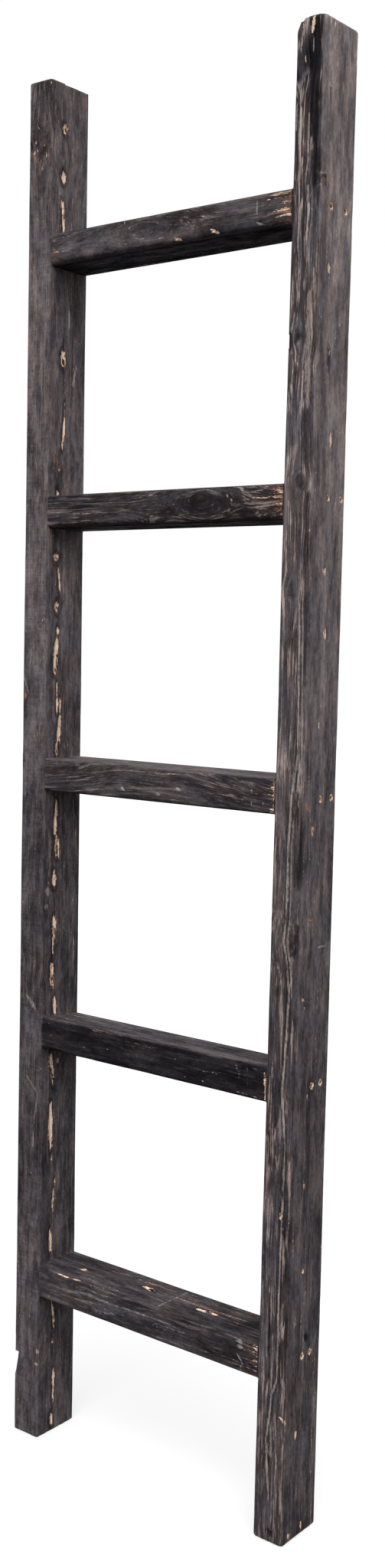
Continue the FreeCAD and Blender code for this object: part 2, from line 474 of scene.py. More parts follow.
for side, stile in stiles.items():
    cutters = [hole_cutter("hole", side, y, z, HOLE_PROFILE) for y, z in screw_places(side)]
    cut_away(stile, joined(cutters, "holes"))
    print(stile.name, "faces with its screw holes:", len(stile.data.polygons))

# %% [markdown]
# The left stile has two more cuts. A splinter broke off its outer front edge near the
# foot, square at its upper end and feathered below. Its top was sawn in two strokes,
# which left a small step. Both cutters are cubes, the splinter's with its corners moved
# into a wedge, and both are taken away with the same Boolean.

# %% Splinter and saw step
SPLINTER_TOP, SPLINTER_LENGTH = 113.0 * MM, 39.0 * MM
SPLINTER_WIDTH, SPLINTER_DEPTH = 12.0 * MM, 16.0 * MM
FEATHER = 0.5 * MM  # how deep the splinter still is at its lower end
LEAN_ABOVE, LEAN_BELOW = 9.0 * MM, 2.0 * MM  # how far its back edge leans to the outside
BREAK_RISE = 1.5 * MM  # how much higher it broke at the outer face
OFF_BOARD_CUTS = Vector((0.11, 0.17, 0.23)) * MM
SAW_STEP_DROP, SAW_STEP_DISTANCE = 2.0 * MM, 26.0 * MM
STEP_OFF_GRID = 0.13 * MM


def splinter_cutter():
    outer, front = -HALF_WIDTH, front_at(0.0)
    cutter = fresh_cube(
        "splinter",
        (outer - SPLINTER_WIDTH, front - SPLINTER_DEPTH, SPLINTER_TOP - SPLINTER_LENGTH),
        (outer + SPLINTER_WIDTH, front + SPLINTER_DEPTH, SPLINTER_TOP),
    )
    for corner in cutter.data.vertices:
        on_board = corner.co.x > outer
        behind = corner.co.y > front
        below = corner.co.z < SPLINTER_TOP - SPLINTER_LENGTH / 2
        if on_board and below:
            corner.co.x = outer + FEATHER
        if on_board and behind:
            corner.co.x -= LEAN_BELOW if below else LEAN_ABOVE
        if not below and not on_board:
            corner.co.z += BREAK_RISE
        corner.co += OFF_BOARD_CUTS
    return cutter


def saw_step_cutter():
    """A cube that takes the back of the left stile's top, from the saw's step on."""
    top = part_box("left_stile")[1].z
    step = front_at(top) + SAW_STEP_DISTANCE + STEP_OFF_GRID
    return fresh_cube("step", (-0.3, step, top - SAW_STEP_DROP), (-0.1, 0.1, top + 0.01))


cut_away(stiles["left"], splinter_cutter())
cut_away(stiles["left"], saw_step_cutter())
print("left stile faces:", len(stiles["left"].data.polygons))

# %% [markdown]
# ## Wear, as moves of the mesh and as marks
#
# Rubbed timber is a record of what happened to it, and the same event changes both its
# shape and its colour: a chip is a hollow that shows bare wood. So each event is kept
# once, as a stroke with a start, an end and a width, and is used twice. The points
# under it move inwards, and a mark is written into a colour attribute that the
# material reads later. The four channels are bare wood, rusty stain, darkness and pale
# scuffs. The darkness holds dark wood such as knots, and also painted shade in chips,
# shakes and grooves. Painting a picture would tie the look to an image file, and strokes don't.
#
# A second attribute holds grain coordinates: two across the board and one along it.
# They follow the timber, so they bend round each knot, and the material's streaks
# bend with them.


# %% A board's points as arrays
CHANNELS = ("bare", "rust", "dark", "pale")
MEASURES = ("ridge", "light", "saw")
RAGGED = 0.32  # how far a mark's edge strays, as a share of its half width
TAPER = 0.7  # how much thinner a stroke is at its ends
HOLLOW_RIM = (0.45, 1.05)  # where a stroke's hollow begins to rise, and where it ends


class Board:
    """One piece's points, normals, hollows and marks while wear is being worked out."""

    def __init__(self, piece, axis, number):
        self.piece, self.axis, self.number = piece, axis, number
        count = len(piece.data.vertices)
        flat = np.zeros(count * 3)
        piece.data.vertices.foreach_get("co", flat)
        self.points = flat.reshape(-1, 3).copy()
        piece.data.vertices.foreach_get("normal", flat)
        self.normals = flat.reshape(-1, 3).copy()
        self.hollow = np.zeros(count)
        self.marks = {name: np.zeros(count) for name in CHANNELS}
        self.across = self.points.copy()
        self.paint = {name: np.zeros(count) for name in MEASURES}
        self.ragged = RAGGED * noise(self.points, self.lengthwise(2.6, 9.0), 11 + number)

    def lengthwise(self, across, along):
        """Blob sizes in metres, from millimetres across and along the grain."""
        sizes = [across * MM] * 3
        sizes[self.axis] = along * MM
        return sizes

    def mark(self, kind, cover):
        """Add a mark wherever it is stronger than what is there."""
        self.marks[kind] = np.maximum(self.marks[kind], cover)

    def dent(self, depth):
        """Deepen the board wherever this is deeper than what is there."""
        self.hollow = np.maximum(self.hollow, depth)

    def stroke(self, start, end, width, kind, strength=1.0, depth=0.0, soft=0.7):
        """Mark and hollow out a tapered stroke between two points."""
        start, line = np.array(start), np.array(end) - np.array(start)
        share = np.clip((self.points - start) @ line / max(line @ line, 1e-12), 0.0, 1.0)
        gap = np.linalg.norm(self.points - (start + share[:, None] * line), axis=1)
        half = width / 2 * np.sqrt(1.0 - TAPER * (2.0 * share - 1.0) ** 2)
        place = gap / half + self.ragged
        cover = 1.0 - ramp(place, 1.0 - soft, 1.0 + soft)
        self.mark(kind, strength * cover)
        self.dent(depth * (1.0 - ramp(place, *HOLLOW_RIM)))
        return cover


boards = {side: Board(stiles[side], UP, number) for number, side in enumerate(SIDE)}
boards.update({name: Board(rungs[name], 0, 2 + number) for number, name in enumerate(RUNGS)})
print("boards:", list(boards))

# %% [markdown]
# ### Ridges, waves and worn arrises
#
# The soft wood between the growth rings has worn away, so the faces are ridged along
# the grain. The arrises have lost more in some places than in others. Nothing is added
# outside the sawn board, because wear only takes wood away.

# %% Weathering
RIDGE_DEPTH = 0.55 * MM
WAVE_DEPTH = 0.5 * MM
BITE_SHARE = 0.9  # depth of a bite out of an arris, as a share of its loss
ARRIS_PALE = 0.3


def arris_share(board):
    """1 on the middle of a rounded long edge, and 0 on the flat faces."""
    across = board.normals.copy()
    across[:, board.axis] = 0.0
    length = np.linalg.norm(across, axis=1) + 1e-9
    return ramp(1.0 - np.abs(across).max(axis=1) / length, 0.03, 0.25)


def weather(board, arris_depth):
    seed = 20 + board.number
    ridges = noise(board.across, board.lengthwise(3.4, 160.0), seed)
    fine = noise(board.across, board.lengthwise(1.9, 60.0), seed + 1)
    waves = noise(board.points, board.lengthwise(30.0, 130.0), seed + 2)
    board.hollow += RIDGE_DEPTH * (0.5 + 0.35 * ridges + 0.15 * fine)
    board.hollow += WAVE_DEPTH * (0.5 + 0.5 * waves)
    edge = arris_share(board)
    uneven = noise(board.points, board.lengthwise(22.0, 45.0), seed + 3)
    nicks = noise(board.points, board.lengthwise(9.0, 9.0), seed + 4)
    bites = noise(board.points, board.lengthwise(16.0, 26.0), seed + 6)
    board.hollow += arris_depth * edge * (ramp(uneven, -0.5, 0.9) + 0.6 * ramp(nicks, 0.35, 0.9))
    board.hollow += arris_depth * edge * BITE_SHARE * ramp(bites, 0.4, 0.8)
    rubbed = ramp(noise(board.points, board.lengthwise(7.0, 70.0), seed + 5), 0.1, 0.8)
    board.mark("pale", ARRIS_PALE * edge * rubbed)
    return edge


ARRIS_LOSS = {"left": 0.9 * MM, "right": 2.3 * MM}
RUNG_ARRIS_LOSS = 1.5 * MM
for name, board in boards.items():
    edge = weather(board, ARRIS_LOSS.get(name, RUNG_ARRIS_LOSS))
    print(name, "share of points on arrises:", round(float((edge > 0.5).mean()), 2))

# %% [markdown]
# ### Faces to place marks on
#
# Each mark that shows in the photograph is placed by the pixel where it is seen and
# the face that it lies on. Widths are given in pixels as well. A face that is seen at a
# slant looks about a third narrower than it is, so one pixel stands for 1.5 millimetres
# there.

# %% Faces
PIXEL_ACROSS = 1.5 * MM


def upright_plane(point_low, point_high, sideways):
    """Plane through two points and a horizontal direction."""
    low = Vector(point_low)
    return low, (Vector(point_high) - low).cross(Vector(sideways)).normalized()


HEAD = LADDER_HEIGHT  # the upper of the two heights that fix each plane
FRONT = upright_plane((0, front_at(0.0), 0), (0, front_at(HEAD), HEAD), (1, 0, 0))
LEFT_INNER = upright_plane((inner_at("left", 0.0), 0, 0), (inner_at("left", HEAD), 0, HEAD), (0, 1, 0))
RIGHT_SIDE = upright_plane((HALF_WIDTH, 0, 0), (HALF_WIDTH, 0, HEAD), (0, 1, 0))


def rung_top(name):
    low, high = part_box(name)
    fall = TOP_FALL.get(name, 0.0)
    return upright_plane((0, low.y, high.z), (0, high.y, high.z - fall), (1, 0, 0))


def draw(board, plane, kind, strokes, strength=1.0, depth=0.0, soft=0.7):
    """Strokes given by pixels: start across and down, end across and down, and width."""
    for across, down, end_across, end_down, width in strokes:
        start = seen_on(across, down, plane)
        end = seen_on(end_across, end_down, plane)
        board.stroke(start, end, width * PIXEL_ACROSS, kind, strength, depth, soft)


def trail(points, width):
    """Strokes that join a line of pixels."""
    return [(*a, *b, width) for a, b in zip(points, points[1:])]


print("front plane leans by degrees:", round(math.degrees(math.asin(FRONT[1].z)), 2))

# %% [markdown]
# ### Knots
#
# A knot is where a branch grew. The trunk's grain swerves round it, and the knot's own
# rings are dark and crackled. So a knot pushes the grain coordinates aside, can draw
# rings of its own in them, and darkens and hollows its heart. A chip's core is simpler:
# it is the deepest part of a stroke, where less light gets in.

# %% Knots and cores
# In knot radii: how far the grain is pushed, and the push's reach along and across it.
KNOT_PUSH, KNOT_RUN, KNOT_FADE = 1.1, 2.3, 3.2
KNOT_SQUASH = 0.62  # a knot is longer along the grain
RING_RISE = 0.35  # how fast its rings follow each other
KNOT_DEPTH = 0.9 * MM
KNOT_RIM, KNOT_FLECKS = 0.22, 0.4
CRACKLE_SEED, FLECK_SEED = 77, 78


def bend_grain(board, centre, radius, rings):
    """Bend the grain round a knot, and return the distance from its heart in radii."""
    offset = board.points - np.array(centre)
    side = offset.copy()
    side[:, board.axis] = 0.0
    reach = np.linalg.norm(side, axis=1)
    run = offset[:, board.axis] / (KNOT_RUN * radius)
    bulge = KNOT_PUSH * radius * np.exp(-run ** 2 - reach / (KNOT_FADE * radius))
    board.across -= side * (bulge / (reach + bulge + 1e-9))[:, None]
    squash = np.ones(3)
    squash[board.axis] = KNOT_SQUASH
    gap = np.linalg.norm(offset * squash, axis=1) * (1.0 + 0.8 * board.ragged)
    inside = rings * (1.0 - ramp(gap / radius, 0.5, 1.4))
    for axis in {0, 1, 2} - {board.axis}:
        board.across[:, axis] += inside * (centre[axis] + RING_RISE * gap - board.across[:, axis])
    return gap / radius


def knot(board, centre, radius, darkness=0.7, rings=1.0):
    """A knot with a dark crackled heart, a pale rim and rusty flecks round it."""
    place = bend_grain(board, centre, radius, rings) + 1.5 * board.ragged
    crackle = ramp(noise(board.points, board.lengthwise(3.4, 5.0), CRACKLE_SEED), -0.4, 0.5)
    heart = 1.0 - ramp(place, 0.35, 1.0)
    flecks = ramp(noise(board.points, board.lengthwise(3.0, 5.0), FLECK_SEED), 0.2, 0.7)
    flecks *= ramp(place, 0.3, 0.8) * (1.0 - ramp(place, 0.9, 1.6))
    board.mark("dark", darkness * heart * (0.7 + 0.3 * crackle))
    board.mark("pale", KNOT_RIM * np.exp(-((place - 1.1) / 0.2) ** 2))
    board.mark("rust", KNOT_FLECKS * flecks)
    board.dent(KNOT_DEPTH * heart * crackle)


def hidden_knot(side, inwards, y, height, radius):
    """A knot on a face that isn't seen, some millimetres in from the outer face."""
    x = SIDE[side] * (HALF_WIDTH - inwards * MM)
    knot(boards[side], (x, y, height), radius * MM)


def paint_core_shade(board, start, end, width):
    """Painted shade in the middle of a chip, where it is deepest and least lit."""
    cover = board.stroke(start, end, width, "dark", strength=0.9)
    board.marks["bare"] *= 1.0 - 0.8 * cover


print("a knot pushes the grain aside by", KNOT_PUSH, "of its radius")

# %% [markdown]
# ### The left stile's marks
#
# A row of shakes and chips runs down its inner face, a third of the way back. Each one
# is torn a millimetre or two deep, pale inside, with a rusty rim and a dark edge of
# painted shade, and every other one has painted shade at its core. The knot near its
# top is flecked all over, so its flecks are drawn at seeded random places.

# %% Shakes in the left stile
left = boards["left"]
SHAKES = [
    (86, 164, 86, 174, 7), (84, 225, 84, 237, 7), (82, 262, 83, 280, 3.5), (83, 284, 84, 302, 4),
    (83, 461, 83, 478, 8), (76, 641, 76, 648, 4), (74, 725, 74, 731, 9), (77, 742, 79, 775, 3),
    (75, 787, 75, 798, 7), (76, 820, 76, 828, 4), (75, 836, 72, 878, 7), (75, 892, 75, 908, 3),
    (75, 913, 75, 929, 5), (79, 913, 79, 931, 3.5), (79, 936, 75, 984, 7), (75, 1046, 72, 1090, 6),
    (75, 1093, 75, 1116, 8), (71, 1139, 71, 1156, 7), (71, 1198, 71, 1222, 6),
    (70, 1225, 69, 1250, 2.5), (68, 1258, 68, 1287, 6), (72, 1303, 72, 1324, 5),
    (67, 1378, 70, 1415, 6), (67, 1442, 67, 1500, 7), (72, 1540, 68, 1583, 2.3),
    (66, 1607, 66, 1633, 4.5), (68, 1697, 71, 1733, 2.8), (70, 1789, 70, 1810, 4),
    (70, 1812, 69, 1835, 2.3), (67, 1847, 67, 1860, 5), (85, 547, 82, 585, 3.5),
]


def altered(strokes, start=(0.0, 0.0), end=(0.0, 0.0), widen=1.0, add=0.0):
    """The same strokes with their two ends moved by some pixels and another width."""
    return [
        (x0 + start[0], y0 + start[1], x1 + end[0], y1 + end[1], widen * width + add)
        for x0, y0, x1, y1, width in strokes
    ]


draw(left, LEFT_INNER, "bare", altered(SHAKES, widen=0.72), 0.95, 1.8 * MM, 0.85)
draw(left, LEFT_INNER, "rust", altered(SHAKES, (0, -2), (0, 3)), strength=0.5)
# A wider dark stroke round each shake: painted shade along its torn edge.
draw(left, LEFT_INNER, "dark", altered(SHAKES, (-1.2, -5), (-1.0, 7), add=1.5), strength=0.6)
# Painted shade at the core of every other shake, where it is deepest.
for x0, y0, x1, y1, width in SHAKES[::2]:
    middle, low_end = (x0 + 0.8, (y0 + y1) / 2), (x1 + 0.6, y1 - 1)
    start, end = seen_on(*middle, LEFT_INNER), seen_on(*low_end, LEFT_INNER)
    paint_core_shade(left, start, end, 0.28 * width * PIXEL_ACROSS)
print("shakes:", len(SHAKES))

# %% Other marks on the left stile
SPOTS = [(68, 1506, 68, 1516, 6), (78, 606, 78, 616, 6), (68, 1748, 68, 1756, 4)]
draw(left, LEFT_INNER, "rust", SPOTS, strength=0.55, depth=0.8 * MM)
draw(left, LEFT_INNER, "bare", altered(SPOTS, (0.5, 3), (0.5, 0), widen=0.5), strength=0.6)
split = trail([(83, 440), (84, 500), (86, 545)], 1.6)
draw(left, LEFT_INNER, "dark", split, strength=0.8, depth=0.9 * MM)
draw(left, LEFT_INNER, "pale", [
    (91, 406, 91, 429, 3), (101, 475, 95, 505, 1.8), (76, 1383, 76, 1388, 4),
], strength=0.9)
draw(left, LEFT_INNER, "rust", [(71, 596, 79, 608, 5), (68, 1757, 57, 1780, 3)], strength=0.5)
draw(left, FRONT, "pale", [
    (63, 521, 72, 532, 2), (48, 1765, 50, 1768, 6), (46, 1781, 48, 1784, 5),
], strength=0.8)
draw(left, FRONT, "pale", trail([(35, 1405), (48, 1428), (44, 1470), (42, 1500)], 1.6), strength=0.7)
draw(left, FRONT, "pale", [(28, 872, 38, 908, 2), (36, 1302, 46, 1318, 5)], strength=0.55)
draw(left, FRONT, "rust", [
    (44, 203, 48, 212, 2.5), (48, 212, 57, 214, 2), (33, 907, 34, 911, 5),
], strength=0.7)
draw(left, FRONT, "bare", [
    (50, 175, 52, 181, 1.6), (56, 183, 58, 190, 1.6), (48, 195, 50, 199, 1.6),
    (60, 199, 61, 206, 1.6), (54, 217, 56, 222, 1.6),
], strength=0.6)
draw(left, FRONT, "bare", [(68, 105, 68, 108, 4), (72, 150, 72, 250, 1.8)], 0.8, 0.5 * MM)
draw(left, LEFT_INNER, "pale", [
    (62, 1160, 62, 1168, 6), (61, 1182, 61, 1188, 5), (95, 196, 95, 214, 2.5),
], strength=0.6)
print("left stile marked")

# %% The left stile's knots
FLECKED_KNOT = (54.0, 196.0)
FLECK_SPREAD = (6.5, 15.0)
# Kind of fleck, how many, and the least and greatest strength.
FLECKS = [("rust", 16, 0.4, 0.7), ("bare", 18, 0.42, 0.68), ("dark", 14, 0.5, 0.9)]
knot(left, seen_on(*FLECKED_KNOT, FRONT), 15.0 * MM, 0.55, rings=0.0)
speck = np.random.default_rng(7)
for kind, count, least, most in FLECKS:
    spread_x = speck.normal(FLECKED_KNOT[0], FLECK_SPREAD[0], count)
    spread_y = speck.normal(FLECKED_KNOT[1], FLECK_SPREAD[1], count)
    for x, y in zip(spread_x, spread_y):
        end_x = x + speck.uniform(-2.0, 2.0)
        end_y = y + speck.uniform(0.0, 5.0)
        fleck = (x, y, end_x, end_y, speck.uniform(1.2, 2.4))
        draw(left, FRONT, kind, [fleck], strength=speck.uniform(least, most))
hidden_knot("left", 0.0, 8.0 * MM, 1.31, 14.0)
hidden_knot("left", 0.0, -12.0 * MM, 0.66, 10.0)
hidden_knot("left", 22.5, BACK, 0.98, 12.0)
print("left stile's flecks:", sum(count for _, count, _, _ in FLECKS))

# %% [markdown]
# ### The right stile's marks
#
# Its front is strongly ridged, with a long pale double line down it, several knots, and
# dark bands along its outer front corner. Its side shows the screw holes, each in a
# small patch of torn bare wood.

# %% Front of the right stile
right = boards["right"]
draw(right, FRONT, "dark", trail([(411, 26), (410, 100), (410, 180)], 12), strength=0.85)
draw(right, FRONT, "dark", trail([(413, 180), (412, 240)], 7), strength=0.8)
draw(right, FRONT, "dark", trail([(402, 645), (401, 760), (399, 895)], 6), strength=0.65, soft=0.95)
draw(right, FRONT, "dark", trail([(392, 1040), (390, 1160)], 10), strength=0.6, soft=0.95)
draw(right, FRONT, "dark", trail([(383, 1402), (382, 1448)], 8), strength=0.5)
draw(right, FRONT, "bare", [
    (396, 24, 396, 36, 1.6), (411, 20, 408, 42, 3), (399, 70, 400, 84, 1.4),
], strength=0.75, depth=0.5 * MM)
draw(right, FRONT, "pale", [
    (393, 140, 391, 196, 3.5), (388, 120, 387, 170, 1.8), (404, 148, 402, 200, 1.6),
    (407, 176, 406, 196, 1.6), (392, 205, 389, 330, 1.6), (403, 240, 400, 300, 1.4),
    (398, 30, 392, 70, 1.6), (409, 44, 410, 70, 1.3),
], strength=0.85)
draw(right, FRONT, "rust", [
    (404, 382, 403, 450, 5), (402, 455, 402, 525, 4), (410, 607, 410, 614, 5),
], strength=0.34)
draw(right, FRONT, "pale", [(404, 380, 403, 460, 7), (402, 440, 402, 530, 8)], strength=0.62)
draw(right, FRONT, "pale", trail([(395, 905), (397, 1010), (388, 1060)], 1.6), strength=0.55)
draw(right, FRONT, "dark", trail([(352, 1690), (351, 1800)], 2.2), strength=0.95, depth=1.0 * MM)
draw(right, FRONT, "bare", [(366, 1586, 366, 1593, 3), (366, 1852, 377, 1868, 3)], 0.8, 0.5 * MM)
draw(right, FRONT, "pale", [
    (352, 1890, 353, 1902, 6), (340, 1906, 353, 1880, 1.5), (353, 1884, 368, 1868, 1.6),
    (362, 1905, 358, 1925, 1.5),
], strength=0.5)
print("right stile's front marked")

# %% The double line
DOUBLE_LINE = [
    (391, 785), (390, 880), (389, 985), (381, 1040), (376, 1110), (374, 1200), (370, 1228),
    (375, 1262), (377, 1300), (372, 1380), (368, 1425), (372, 1500), (369, 1560), (364, 1680),
    (362, 1800), (355, 1820), (347, 1880), (350, 1960),
]
SECOND_LINE = [(x + 4.5, y + 6) for x, y in DOUBLE_LINE[:9]]
# The two dark lines are painted shade in the double line's grooves; the one between is also hollowed.
SHADED_GROOVE_BETWEEN = [(x + 2.2, y) for x, y in DOUBLE_LINE]
SHADED_GROOVE_BESIDE = [(x - 2.4, y) for x, y in DOUBLE_LINE]
draw(right, FRONT, "pale", trail(DOUBLE_LINE, 2.2), strength=0.72)
draw(right, FRONT, "pale", trail(SECOND_LINE, 2.0), strength=0.62)
draw(right, FRONT, "dark", trail(SHADED_GROOVE_BETWEEN, 1.6), strength=0.7, depth=0.8 * MM)
draw(right, FRONT, "dark", trail(SHADED_GROOVE_BESIDE, 1.6), strength=0.5)
print("double line drawn through", len(DOUBLE_LINE), "points")

# %% Side of the right stile
draw(right, RIGHT_SIDE, "bare", [
    (415, 22, 415, 26, 3), (434, 22, 434, 30, 3), (439, 28, 439, 34, 3),
    (432, 567, 432, 584, 3.5), (393, 1988, 393, 1996, 3), (377, 2004, 377, 2010, 3),
    (387, 1869, 387, 1879, 3.5), (397, 1660, 395, 1664, 3),
], strength=0.9, depth=0.7 * MM)
PITS = [
    (433, 107, 433, 112, 5), (430, 346, 430, 354, 5), (425, 742, 425, 750, 5),
    (425, 822, 425, 834, 5), (418, 946, 418, 951, 4), (409, 1080, 409, 1090, 5),
    (406, 1200, 406, 1205, 4), (396, 1304, 396, 1308, 3.5), (399, 1315, 399, 1318, 3.5),
    (398, 1547, 398, 1551, 4), (402, 1430, 402, 1438, 3.5),
]
draw(right, RIGHT_SIDE, "bare", PITS, strength=0.66, depth=1.4 * MM)
draw(right, RIGHT_SIDE, "rust", [
    (433, 105, 433, 114, 6), (430, 344, 430, 356, 6), (425, 740, 425, 752, 6),
    (425, 818, 425, 836, 6), (418, 944, 418, 953, 5), (409, 1076, 409, 1092, 6),
    (406, 1198, 406, 1208, 5), (398, 1545, 398, 1553, 5),
], strength=0.5)
draw(right, RIGHT_SIDE, "dark", [
    (430, 452, 430, 486, 5), (433, 114, 433, 135, 1.8), (399, 1744, 401, 1750, 6),
], strength=0.85, depth=1.0 * MM)
draw(right, RIGHT_SIDE, "rust", [
    (424, 232, 429, 240, 4), (430, 241, 432, 244, 3), (400, 1050, 403, 1058, 4),
], strength=0.7)
draw(right, RIGHT_SIDE, "pale", [
    (418, 226, 425, 225, 2.5), (419, 238, 421, 241, 2), (412, 1240, 430, 1232, 1.5),
], strength=0.8)
print("pits in the right stile's side:", len(PITS))

# %% The right stile's knots
# Across, down, radius in millimetres and darkness.
KNOTS_IN_FRONT = [
    (392, 92, 8, 0.75), (389, 440, 7, 0.8), (390, 628, 7, 0.7), (379, 773, 6, 0.75),
    (382, 1237, 8, 0.85),
]
for across, down, radius, darkness in KNOTS_IN_FRONT:
    knot(right, seen_on(across, down, FRONT), radius * MM, darkness, rings=0.55)
knot(right, seen_on(424, 235, RIGHT_SIDE), 7.0 * MM, 0.8)
hidden_knot("right", 22.5, BACK, 1.4, 12.0)
hidden_knot("right", 22.5, BACK, 0.5, 10.0)
hidden_knot("right", 41.5, 12.0 * MM, 0.75, 12.0)
print("right stile's knots:", len(KNOTS_IN_FRONT) + 4)

# %% [markdown]
# ### The faces that the photograph doesn't show
#
# The backs, the left stile's outer face and the right stile's inner face had the same
# life as the rest. So they get a few shakes of the same kind, at seeded random places
# along the board, rather than being left smooth.

# %% Shakes on the hidden faces
FACE_DEPTH, FACE_WIDTH = 0.07, 0.04  # the stiles' faces, a little less than at the foot
LOWEST_SHAKE, HIGHEST_SHAKE, SHAKE_JITTER = 0.06, 1.72, 0.04
SHAKE_LENGTHS, SHAKE_WIDTHS = (6.0, 30.0), (2.5, 6.0)


def scatter(board, corner, sideways, count, seed):
    """Torn shakes at random heights on an upright face, in from one of its edges, each in a rim of
    painted shade.
    """
    chance = np.random.default_rng(seed)
    heights = np.linspace(LOWEST_SHAKE, HIGHEST_SHAKE, count)
    for height in heights + chance.uniform(-SHAKE_JITTER, SHAKE_JITTER, count):
        x, y = np.array(corner) + np.array(sideways) * chance.uniform(0.15, 0.85)
        start = (x, y, height)
        end = (x, y, height + chance.uniform(*SHAKE_LENGTHS) * MM)
        width = chance.uniform(*SHAKE_WIDTHS) * MM
        # A wider dark rim round each shake: painted shade along its torn edge.
        board.stroke(start, end, width + 3.0 * MM, "dark", 0.6)
        board.stroke(start, end, width, "rust", 0.6)
        board.stroke(start, end, 0.7 * width, "bare", chance.uniform(0.6, 1.0), 1.5 * MM)


MIDDLE_HEIGHT = LADDER_HEIGHT / 2
scatter(left, (-HALF_WIDTH, BACK - FACE_DEPTH), (0.0, FACE_DEPTH), 14, 31)
scatter(left, (-HALF_WIDTH, BACK), (FACE_WIDTH, 0.0), 9, 32)
scatter(right, (HALF_WIDTH, BACK), (-FACE_WIDTH, 0.0), 9, 33)
scatter(right, (inner_at("right", MIDDLE_HEIGHT), BACK - FACE_DEPTH), (0.0, FACE_DEPTH), 8, 34)
print("hidden faces marked")

# %% [markdown]
# ### Knocked corners
#
# The tops were never eased, only knocked. The right stile's inner front corner is the
# most rounded one, and both stiles have small bites out of their front edges.

# %% Knocks
def knock(board, centre, radius, depth):
    """Round off a corner, deepest at its point."""
    gap = np.linalg.norm(board.points - np.array(centre), axis=1) / radius
    board.hollow += depth * (1.0 - ramp(gap + 0.5 * board.ragged, 0.1, 1.0))


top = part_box("right_stile")[1].z
knock(right, (inner_at("right", top), front_at(top), top), 17.0 * MM, 4.5 * MM)
knock(right, (HALF_WIDTH, front_at(top), top), 10.0 * MM, 1.5 * MM)
knock(right, (inner_at("right", top), BACK, top), 14.0 * MM, 3.0 * MM)
draw(right, FRONT, "dark", [(377, 436, 376, 458, 7), (350, 2000, 352, 2006, 6)], 0.7, 3.5 * MM)
draw(right, FRONT, "dark", [(386, 128, 386, 136, 4), (361, 1290, 361, 1300, 4)], 0.4, 2.5 * MM)
draw(left, FRONT, "dark", [(41, 191, 41, 199, 5), (27, 1290, 27, 1300, 3)], 0.4, 2.5 * MM)
print("corners knocked")

# %% [markdown]
# ### Torn wood round the screws
#
# A screw head that is driven below the face tears the paint and the fibres round it.
# The left-hand screws are hidden from the photograph's camera, so they get the same
# treatment as the right-hand ones.

# %% Screw hole surrounds
HOLE_CLEAR = 5.4 * MM  # nothing wears within this distance of a screw, below the face
TORN_WIDTH, TORN_DEPTH = 11.0 * MM, 1.0 * MM
BARE_RIM = (3.4 * MM, 5.2 * MM)  # bare wood ends between these distances from the screw
BARE_STRENGTH = 0.8
keep_walls = {}
for side in SIDE:
    board = boards[side]
    walls = np.ones(len(board.points))
    outer = SIDE[side] * HALF_WIDTH
    for y, z in screw_places(side):
        start, end = (outer, y, z - 1.0 * MM), (outer, y + 0.5 * MM, z + 3.0 * MM)
        board.stroke(start, end, TORN_WIDTH, "rust", 0.7, TORN_DEPTH)
        reach = np.hypot(board.points[:, 1] - y, board.points[:, 2] - z)
        board.mark("bare", BARE_STRENGTH * (1.0 - ramp(reach, *BARE_RIM)))
        sunk = (np.abs(board.points[:, 0]) < HALF_WIDTH - 0.4 * MM) & (reach < HOLE_CLEAR)
        board.marks["bare"][sunk] = BARE_STRENGTH
        walls[sunk] = 0.0
    keep_walls[side] = walls
    print(side, "screw surrounds:", len(screw_places(side)))

# %% [markdown]
# ### The rungs' marks
#
# Each rung's own history shows: flat-sawn grain that closes into rings on the two upper
# ones and a little on the third, tan chips on the edges that people's hands and
# blankets rub, and bare wood combed by the grain where the right-hand end meets its
# stile.

# %% Rings and rubbed ends
MIDDLE_PLANE = (Vector((0, front_at(MIDDLE_HEIGHT), 0)), Vector((0, 1, 0)))
MIDDLE_ROW = PHOTO_SIZE[1] / 2
TOOTH_WIDTHS, TOOTH_STRENGTHS, TOOTH_DEPTH = (1.6, 3.0), (0.42, 0.66), 0.6 * MM
INTO_STILE = 4.0 * MM  # a tooth runs on a little past the rung's end


def close_rings(board, eye, height, length):
    """Close the grain into rings round an eye on the front face, and let it run out."""
    x, z = board.points[:, 0] - eye.x, board.points[:, 2] - eye.z
    on_front = ramp(-board.normals[:, 1], 0.3, 0.7)
    open_out = height ** 2 * (1.0 - np.exp(-(x / length) ** 2))
    straight = ramp(np.abs(x), 0.5 * length, 2.5 * length)
    rings = eye.z + np.sqrt(z ** 2 + open_out) + 1.1 * straight * z
    board.across[:, 2] += on_front * (rings - board.across[:, 2])
    board.across[:, 1] += on_front * 0.5 * z


def rub_end(board, start_across, strength):
    """Rub the right-hand end of a rung's front, more and more towards the stile."""
    start = seen_on(start_across, MIDDLE_ROW, MIDDLE_PLANE).x
    end = board.points[:, 0].max()
    into = (board.points[:, 0] - start) / (end - start)
    near_front = ramp(-board.normals[:, 1], 0.2, 0.6) * ramp(into, -0.3, 0.1)
    board.mark("rust", strength * near_front * np.clip(0.2 + 0.42 * into ** 2, 0.0, 1.0))
    board.hollow += 0.5 * MM * near_front * ramp(into, 0.3, 1.0)


def comb(board, plane, rows, starts, count, seed):
    """Teeth of bare wood that run along the grain to the right-hand end."""
    chance = np.random.default_rng(seed)
    for down in np.linspace(*rows, count) + chance.uniform(-1.0, 1.0, count):
        start = seen_on(chance.uniform(*starts), down, plane)
        end = (inner_at("right", start.z) + INTO_STILE, start.y, start.z)
        width = chance.uniform(*TOOTH_WIDTHS) * MM
        board.stroke(start, end, width, "bare", chance.uniform(*TOOTH_STRENGTHS), TOOTH_DEPTH)


fronts = {name: (Vector((0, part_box(name)[0].y, 0)), Vector((0, 1, 0))) for name in RUNGS}
# The pixel of each eye, and its rings' height and length in millimetres.
RING_EYES = {"rung_1": (186, 302, 30, 70), "rung_2": (264, 655, 28, 55), "rung_3": (200, 1052, 9, 90)}
for name, (across, down, height, length) in RING_EYES.items():
    close_rings(boards[name], seen_on(across, down, fronts[name]), height * MM, length * MM)
